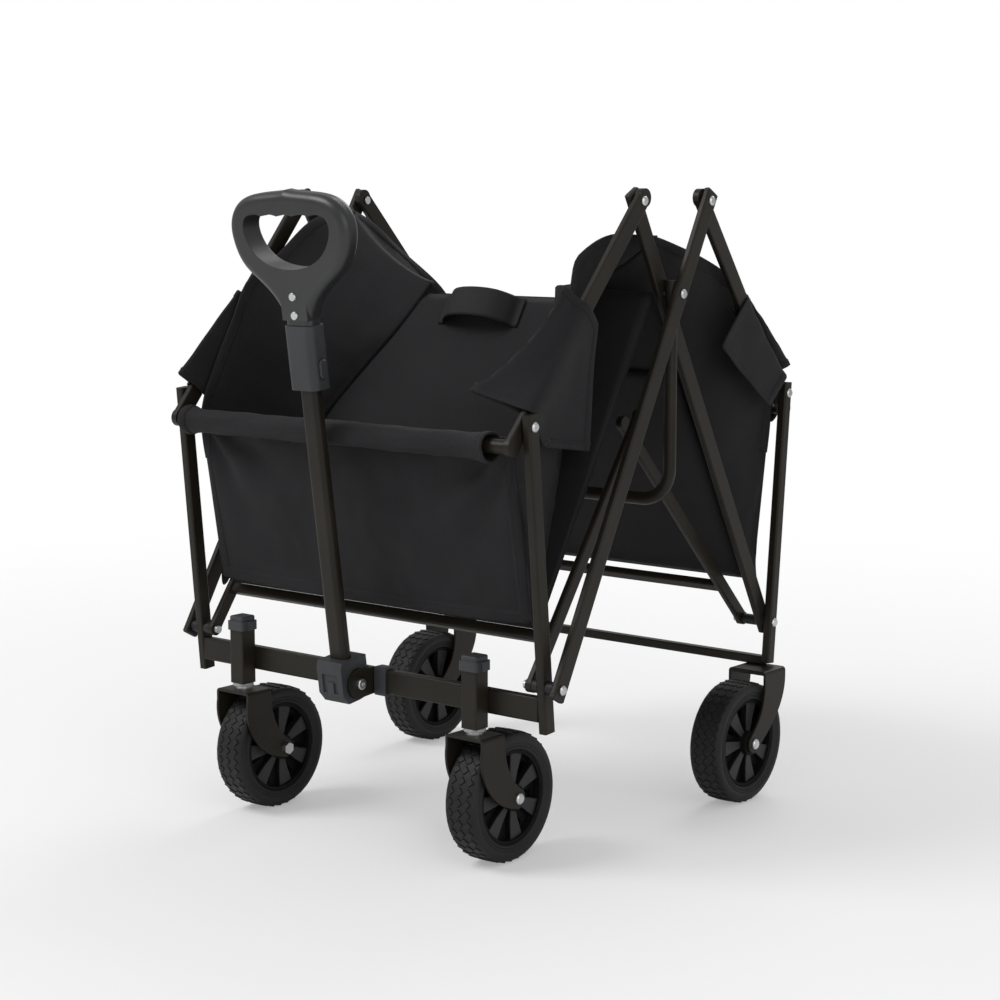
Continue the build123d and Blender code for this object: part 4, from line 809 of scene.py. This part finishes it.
# Side walls: two halves each, lapped at the middle, sewn to the end panel and post at one edge and
# to the floor mat at the other, and folded inwards over the mat. The lines of the head, the fold and
# the mat's edge are in millimetres, from the post to the middle.
WALL_COLS = 64
WALL_ROWS = 26
UNDER_ROWS = 10
WALL_SAG = (0.004, -0.012)
WALL_LIFT = 0.0075
BEND_LIFT = 0.0052
BEND_IN = 0.003
UNDER_LIFT = 0.0046
UPRIGHT_FROM = -4.5
LAP = 0.007
LAP_OVER = 1.3
LAP_EASE = 0.5
BINDING_FROM = 16
BINDING_WIDE = 0.011
BINDING_THICK = 0.0032
FREE_FROM = 0.34
HEAD_CURVE = 0.8
MIDDLE_CURVE = 4
MAT_POLE = (-0.25693, 0.26197)
MAT_TURN = math.radians(59.37)
MAT_NORMAL = (0.8604, 0.5096)
MIDDLE_OPEN = 0.4457
BATCH = 400
CURVE_STEPS = 24
CREASE = [(239, -213, 274), (213, -150, 376), (190, -97, 470), (175, -77, 499), (152, -55, 537),
          (125, -29, 580), (101, -0.5, 629)]
MAT_EDGE = [(239.4, -212, 271), (239.4, -106, 450), (239.4, -1.0, 627)]
TOPS = {
    "front_right": [
        (242, -228, 285), (242, -241, 385), (242, -256, 484), (247, -226, 545), (250, -188, 602),
        (247, -166, 640), (241, -148, 673), (240, -130, 684), (240, -103, 695), (240, -75, 700),
        (240, -27, 698), (240, -0.6, 696),
    ],
    "front_left": [
        (-242, -228, 285), (-242, -241, 385), (-242, -256, 484), (-247, -226, 545), (-249, -196, 594),
        (-244, -174, 640), (-240, -130, 668), (-240, -65, 712), (-240, -0.6, 728),
    ],
    "rear_right": [
        (237.5, 228, 285), (237.5, 241, 385), (237.5, 256, 484), (238, 232, 545), (238, 212, 590),
        (239, 190, 628), (240, 150, 650), (240, 95, 671), (240, 12, 694), (240, 0.6, 696),
    ],
    "rear_left": [
        (-237.5, 228, 285), (-237.5, 241, 385), (-237.5, 256, 484), (-238, 232, 545), (-238, 208, 590),
        (-239, 181, 621), (-240, 101, 673), (-240, 43, 711), (-240, 0.6, 728),
    ],
}


def mm(points):
    """Points given in millimetres, in metres."""
    return np.asarray(points, float) / 1000.0


def through(points, count):
    """Evenly spaced points on a smooth curve through the given ones."""
    points = np.asarray(points, float)
    step = np.linalg.norm(np.diff(points, axis=0), axis=1) ** 0.5
    knot = np.concatenate([[0], np.cumsum(step)])
    first = np.vstack([2 * points[0] - points[1], points, 2 * points[-1] - points[-2]])
    fine = []
    for k in range(len(points) - 1):
        p0, p1, p2, p3 = first[k:k + 4]
        d = knot[k + 1] - knot[k]
        d0 = knot[k] - knot[k - 1] if k else d
        d2 = knot[k + 2] - knot[k + 1] if k + 2 < len(knot) else d
        m1 = (p2 - p1) - (p2 - p0) * d / (d0 + d) + (p1 - p0) * d / d0 if k else (p2 - p1)
        m2 = (p2 - p1) - (p3 - p1) * d / (d + d2) + (p3 - p2) * d / d2 if k + 2 < len(knot) else (p2 - p1)
        for t in np.linspace(0, 1, CURVE_STEPS, endpoint=False):
            h = t * t * (3 - 2 * t)
            fine.append(p1 + (p2 - p1) * h + m1 * (t - 2 * t * t + t ** 3) + m2 * (t ** 3 - t * t))
    fine.append(points[-1])
    fine = np.array(fine)
    reach = np.concatenate([[0], np.cumsum(np.linalg.norm(np.diff(fine, axis=0), axis=1))])
    want = np.linspace(0, reach[-1], count)
    return np.stack([np.interp(want, reach, fine[:, i]) for i in range(3)], axis=1)


def ruled(top, foot, rows, sag):
    """Grid between two edges with the same count of points, hanging a little in between."""
    v = np.linspace(0, 1, rows)[:, None, None]
    grid = top[None] * (1 - v) + foot[None] * v
    return grid + 4 * v * (1 - v) * np.asarray(sag, float)


def sides_of(corner):
    """The signs of a corner's side in x and y."""
    return (1 if "right" in corner else -1), (-1 if "front" in corner else 1)


def half_wall(corner):
    """One half of a side wall: from its post and head hem down to a fold on the mat, and back out under
    itself to the mat's edge, where it is sewn. Front halves lap over rear ones."""
    side_x, side_y = sides_of(corner)
    turn = np.array([side_x, -side_y, 1])
    rise = np.clip(np.linspace(UPRIGHT_FROM, 1, WALL_COLS), 0, 1)[:, None]
    sloped = np.array([0, side_y * MAT_NORMAL[0], MAT_NORMAL[1]])
    off_mat = sloped * (1 - rise) + np.array([0, 0, 1.0]) * rise
    head = through(mm(TOPS[corner]), WALL_COLS)
    fold = through(mm(CREASE) * turn, WALL_COLS)
    edge = through(mm(MAT_EDGE) * turn, WALL_COLS)
    upper = ruled(head, fold + off_mat * WALL_LIFT, WALL_ROWS, (side_x * WALL_SAG[0], 0, WALL_SAG[1]))
    upper = rumple(upper, size=0.006, along=1.1, across=7.0, seed=11 + side_x + 3 * side_y, hold=0.08)
    bend = fold + off_mat * BEND_LIFT - np.array([side_x * BEND_IN, 0, 0])
    under = ruled(fold + off_mat * UNDER_LIFT, edge + off_mat * UNDER_LIFT, UNDER_ROWS, (0, 0, 0))
    grid = np.concatenate([upper, bend[None], under])
    if side_y < 0:
        over = normals_of(grid)[:, -1:]
        over *= np.sign(over[..., 2:])
        over[WALL_ROWS - 1:] = (0, 0, 1)
        lap = grid[:, -1:] + over * CLOTH_THICK * LAP_OVER
        grid[:, -2:-1] += over * CLOTH_THICK * LAP_EASE
        grid = np.concatenate([grid[:, :-1], lap, lap + np.array([0, LAP, 0])], axis=1)
    return grid


def wall_share(grid):
    """How far each point of a wall half goes with the mat: not at all at the post, wholly at the floor,
    and at the middle so far that the halves stay together when opened. The mat turns about MAT_POLE by
    MAT_TURN, and the opened wagon's middle is MIDDLE_OPEN away from there."""
    rows, cols = grid.shape[:2]
    off_z = grid[:, -1, 2] - MAT_POLE[1]
    reach = np.hypot(MAT_POLE[0], off_z)
    turned = np.arctan2(off_z, -MAT_POLE[0]) - np.arccos(np.minimum(1.0, MIDDLE_OPEN / reach))
    middle = np.clip(turned / MAT_TURN, 0, 1)
    share = np.zeros((rows, cols))
    for c in range(cols):
        t = c / (cols - 1)
        head = middle[0] * max(0.0, (t - FREE_FROM) / (1 - FREE_FROM)) ** HEAD_CURVE
        for k in range(rows):
            v = min(1.0, k / (WALL_ROWS - 1))
            near = t ** MIDDLE_CURVE if v < 1 else 0.0
            share[k, c] = (head * (1 - v) + v) * (1 - near) + middle[k] * near
    return share


def set_share(piece, grid, share):
    """Finds for each point of a blended piece the share of the nearest point of the wall, but keeps it
    nowhere.
    """
    wall = grid.reshape(-1, 3)
    part = share.ravel()
    spots = np.zeros(len(piece.data.vertices) * 3, np.float32)
    piece.data.vertices.foreach_get("co", spots)
    spots = spots.reshape(-1, 3).astype(float)
    value = np.zeros(len(spots), np.float32)
    for k in range(0, len(spots), BATCH):
        near = ((spots[k:k + BATCH, None] - wall[None]) ** 2).sum(2).argmin(1)
        value[k:k + BATCH] = part[near]


for corner in TOPS:
    side_x, side_y = sides_of(corner)
    end = corner.split("_")[0]
    wall_grid = half_wall(corner)
    shown = wall_grid if side_x * side_y > 0 else wall_grid[:, ::-1]
    wall = cloth_shell("side_wall_" + corner + "_soft", shown, CLOTH_THICK, cloth)
    edges = [("wall_binding_" + corner, wall_grid[0, BINDING_FROM:], wall_grid[2, BINDING_FROM:])]
    trims = trimmed(edges, BINDING_WIDE, BINDING_THICK, "wall_stitches_" + corner)
    share = wall_share(wall_grid)
    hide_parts("side_wall_" + corner)
    for piece in [wall] + trims:
        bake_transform(piece)
        set_share(piece, wall_grid, share)

# Rail cuffs: at each corner the wall's cloth is turned over the rail link and hangs down outside it
# as a flap, the fold standing up above the link. The front right one leans in as a loose ear. Pairs
# in millimetres are near the post and further up the link, and flat is the cut.
LINKS = {
    "front_right": ((256.8, -261.2, 501.3), (264.0, -59.2, 738.1)),
    "front_left": ((-256.8, -261.2, 501.3), (-264.0, -59.2, 738.1)),
    "rear_right": ((245.0, 261.2, 501.3), (265.0, 59.2, 738.1)),
    "rear_left": ((-245.0, 261.2, 501.3), (-265.0, 59.2, 738.1)),
}
REAR_CUFF = {
    "run": (21, 152), "high": (32, 12), "low": (42, 70), "fold": (254, 256), "post": 263.2,
    "skew": 14.0, "tuck": 0.0, "flat": (136, 115),
}
CUFFS = {
    "front_right": {
        "run": (14, 160), "high": (44, 36), "low": (58, 128), "fold": (204, 253), "post": 268.0,
        "skew": 225.0, "tuck": 24.0, "flat": (146, 170),
    },
    "front_left": {
        "run": (14, 150), "high": (34, 20), "low": (8, 14), "fold": (256, 257), "post": 265.0,
        "skew": 14.0, "tuck": 0.0, "flat": (136, 115),
    },
    "rear_right": REAR_CUFF,
    "rear_left": REAR_CUFF,
}
LINK_IN = 0.0054
LINK_OUT = 0.0058
LINK_TOP = 0.0145
LINK_EDGE = 0.001
INSIDE_OFF = 0.002
INSIDE_LOW = -0.012
INSIDE_HIGH = 0.004
FOLD_ROUND = ((-0.0015, -0.004), (0.0005, 0.0), (0.003, -0.003))
OUTER_ROUND = 0.0015
OUTER_TOP = 0.009
OUTER_LOW = -0.002
TUCK_HALF = 0.6
SKEW_FROM = 0.55
CUFF_WAVE = 0.0016
CUFF_WAVES = (4, 3)
CUFF_SEED = 5.0
CUFF_HEM = 0.009
CUFF_HEM_THICK = 0.0026


def cuff_grid(corner):
    """Cloth folded over a rail link: up inside it to a loose fold, over the link and down outside it."""
    low, peak = (mm(point) for point in LINKS[corner])
    shape = {key: mm(value) for key, value in CUFFS[corner].items()}
    side_x, side_y = sides_of(corner)
    way = (peak - low) / np.linalg.norm(peak - low)
    up = np.array([0, side_y * way[2], abs(way[1])])
    tuck = shape["tuck"]
    rows, cols = 36, 44
    grid = np.zeros((rows, cols, 3))
    for c in range(cols):
        s = c / (cols - 1)
        run, high, drop = (shape[key] @ (1 - s, s) for key in ("run", "high", "low"))
        fold = shape["fold"][1] + (shape["fold"][0] - shape["fold"][1]) * (1 - s) ** 3
        link_x = abs((low + way * run)[0])
        outer = max(link_x + LINK_OUT, shape["post"] * (1 - s) + (link_x + LINK_OUT) * s)
        inner = link_x - LINK_IN - INSIDE_OFF
        inside = [(inner, 0, INSIDE_LOW), (inner, 0, INSIDE_HIGH)]
        fold_over = [(fold + aside, 0, high + off) for aside, off in FOLD_ROUND]
        over_link = [(link_x - LINK_EDGE, 0, LINK_TOP), (outer - OUTER_ROUND, 0, OUTER_TOP)]
        outside = [(outer, 0, OUTER_LOW), (outer - tuck * TUCK_HALF, 0, -drop / 2), (outer - tuck, 0, -drop)]
        section = through(inside + fold_over + over_link + outside, rows)
        for r in range(rows):
            v = r / (rows - 1)
            x, _, lift = section[r]
            spot = Vector((s * CUFF_WAVES[0], v * CUFF_WAVES[1], CUFF_SEED + side_x + 2 * side_y))
            x += CUFF_WAVE * noise.noise(spot)
            middle = low + way * (run - shape["skew"] * s * max(0.0, v - SKEW_FROM))
            grid[r, c] = (side_x * x, middle[1] + up[1] * lift, middle[2] + up[2] * lift)
    return grid


for corner in LINKS:
    side_x, side_y = sides_of(corner)
    end = corner.split("_")[0]
    bend = cuff_grid(corner)
    shown = bend if side_x * side_y < 0 else bend[:, ::-1]
    cuff = cloth_shell("rail_cuff_" + corner, shown, CLOTH_THICK, cloth)
    edges = [
        ("cuff_low_hem_" + corner, bend[-1], bend[-4]),
        ("cuff_end_hem_" + corner, bend[:, -1], bend[:, -4]),
        ("cuff_mouth_hem_" + corner, bend[:, 0], bend[:, 3]),
    ]
    trims = trimmed(edges, CUFF_HEM, CUFF_HEM_THICK, "cuff_stitches_" + corner)
    for piece in [cuff] + trims:
        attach(piece, end + "_rail")

# Floor: two boards sewn into cloth and a flap hinged to the front one at the ridge, which lies over
# the rear one. The boards lie on the floor frames when the wagon is opened.
MAT_FOOT = np.array([-0.2120, 0.2700])
MAT_RIDGE = np.array([0.0, 0.6280])
MAT_SLOPE = (MAT_RIDGE - MAT_FOOT) / np.linalg.norm(MAT_RIDGE - MAT_FOOT)
MAT_UP = np.array([-MAT_SLOPE[1], MAT_SLOPE[0]])
SLOPE_BY_RISE = 1.16
EDGE_SOFT = 0.010
PAD_WAVE = 0.0008
PAD_WAVES = 14
PAD_SEED = 3.3
WELD = 0.00005
PADS = {
    "front_mat": {"end": -1, "near": 0.002, "far": 0.4105, "half": 0.2400, "thick": 0.0070, "lift": 0.0,
                  "full": 0.003},
    "rear_mat": {"end": 1, "near": 0.002, "far": 0.3100, "half": 0.2350, "thick": 0.0060, "lift": 0.0,
                 "full": 0.001},
    "floor_flap": {"end": 1, "near": 0.2990, "far": 0.4085, "half": 0.2350, "thick": 0.0030,
                   "lift": 0.0045, "full": 0.0005},
}


def floor_pad(name, end, near, far, half, thick, lift, full):
    """A cloth-covered board on the slope of the floor, soft at its edges."""
    cols, rows = 48, 40
    points, faces = [], []
    for face in (1, -1):
        for r in range(rows):
            for c in range(cols):
                s, v = c / (cols - 1), r / (rows - 1)
                x = -half + 2 * half * s
                run = near + (far - near) * v
                edge = min(EDGE_SOFT, half - abs(x), run - near, far - run) / EDGE_SOFT
                body = thick / 2 * math.sqrt(max(0.0, 1 - (1 - max(0.0, edge)) ** 2))
                swell = full * math.sin(math.pi * s) * math.sin(math.pi * v)
                spot = Vector((x * PAD_WAVES, run * PAD_WAVES, PAD_SEED * end))
                swell += PAD_WAVE * noise.noise(spot) * max(0.0, edge)
                off = lift + face * body + (swell if face > 0 else 0.0)
                y, z = MAT_FOOT + MAT_SLOPE * run + MAT_UP * off
                points.append((x, -end * y, z))
    one = rows * cols
    for r in range(rows - 1):
        for c in range(cols - 1):
            a, b, d, e = r * cols + c, r * cols + c + 1, (r + 1) * cols + c + 1, (r + 1) * cols + c
            top = (a, b, d, e)
            low = (one + a, one + e, one + d, one + b)
            faces.append(top if end < 0 else top[::-1])
            faces.append(low if end < 0 else low[::-1])
    made = plain_mesh(name, points, faces)
    weave = made.data.uv_layers.new(name="weave")
    for loop in made.data.loops:
        x, y, z = made.data.vertices[loop.vertex_index].co
        weave.data[loop.index].uv = (x, z * SLOPE_BY_RISE)
    shape = bmesh.new()
    shape.from_mesh(made.data)
    bmesh.ops.remove_doubles(shape, verts=shape.verts, dist=WELD)
    bmesh.ops.recalc_face_normals(shape, faces=shape.faces)
    shape.to_mesh(made.data)
    shape.free()
    made.data.polygons.foreach_set("use_smooth", [True] * len(made.data.polygons))
    made.data.materials.append(cloth)
    return made


for node, pad in PADS.items():
    piece = floor_pad(node + "_soft", **pad)
    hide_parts(node)
    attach(piece, node)

# Pull strap: a loop of webbing sewn to the front mat by its two ends, just below the ridge, and
# lifted by hand to fold the wagon. Its line is in millimetres across and off the mat.
WEBBING = (0.0110, 0.0108, 0.0120)
WEBBING_LIGHT = (0.0190, 0.0186, 0.0205)
WEBBING_THREAD = 0.0016
STRAP_LINE = [(-62, 0, 5.6), (-54, 0, 6.2), (-46, 0, 16), (-30, 0, 28), (0, 0, 33), (30, 0, 28),
              (46, 0, 16), (54, 0, 6.2), (62, 0, 5.6)]
STRAP_WIDE = 0.038
STRAP_THICK = 0.0018
MAT_LONG = 0.4160
STRAP_BACK = 0.030
STRAP_AT = MAT_LONG - STRAP_BACK
STRAP_COLS = 48
STRAP_ROWS = 9
webbing = woven("strap_webbing", WEBBING, WEBBING_LIGHT, WEBBING_THREAD, rough=0.6)
strap_line = through(mm(STRAP_LINE), STRAP_COLS)
strap_grid = np.zeros((STRAP_ROWS, STRAP_COLS, 3))
for r in range(STRAP_ROWS):
    reach = STRAP_AT - STRAP_WIDE / 2 + STRAP_WIDE * r / (STRAP_ROWS - 1)
    for c in range(STRAP_COLS):
        y, z = MAT_FOOT + MAT_SLOPE * reach + MAT_UP * strap_line[c, 2]
        strap_grid[r, c] = (strap_line[c, 0], y, z)
strap = cloth_shell("pull_strap_soft", strap_grid, STRAP_THICK, webbing)
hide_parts("pull_strap")
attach(strap, "front_mat")
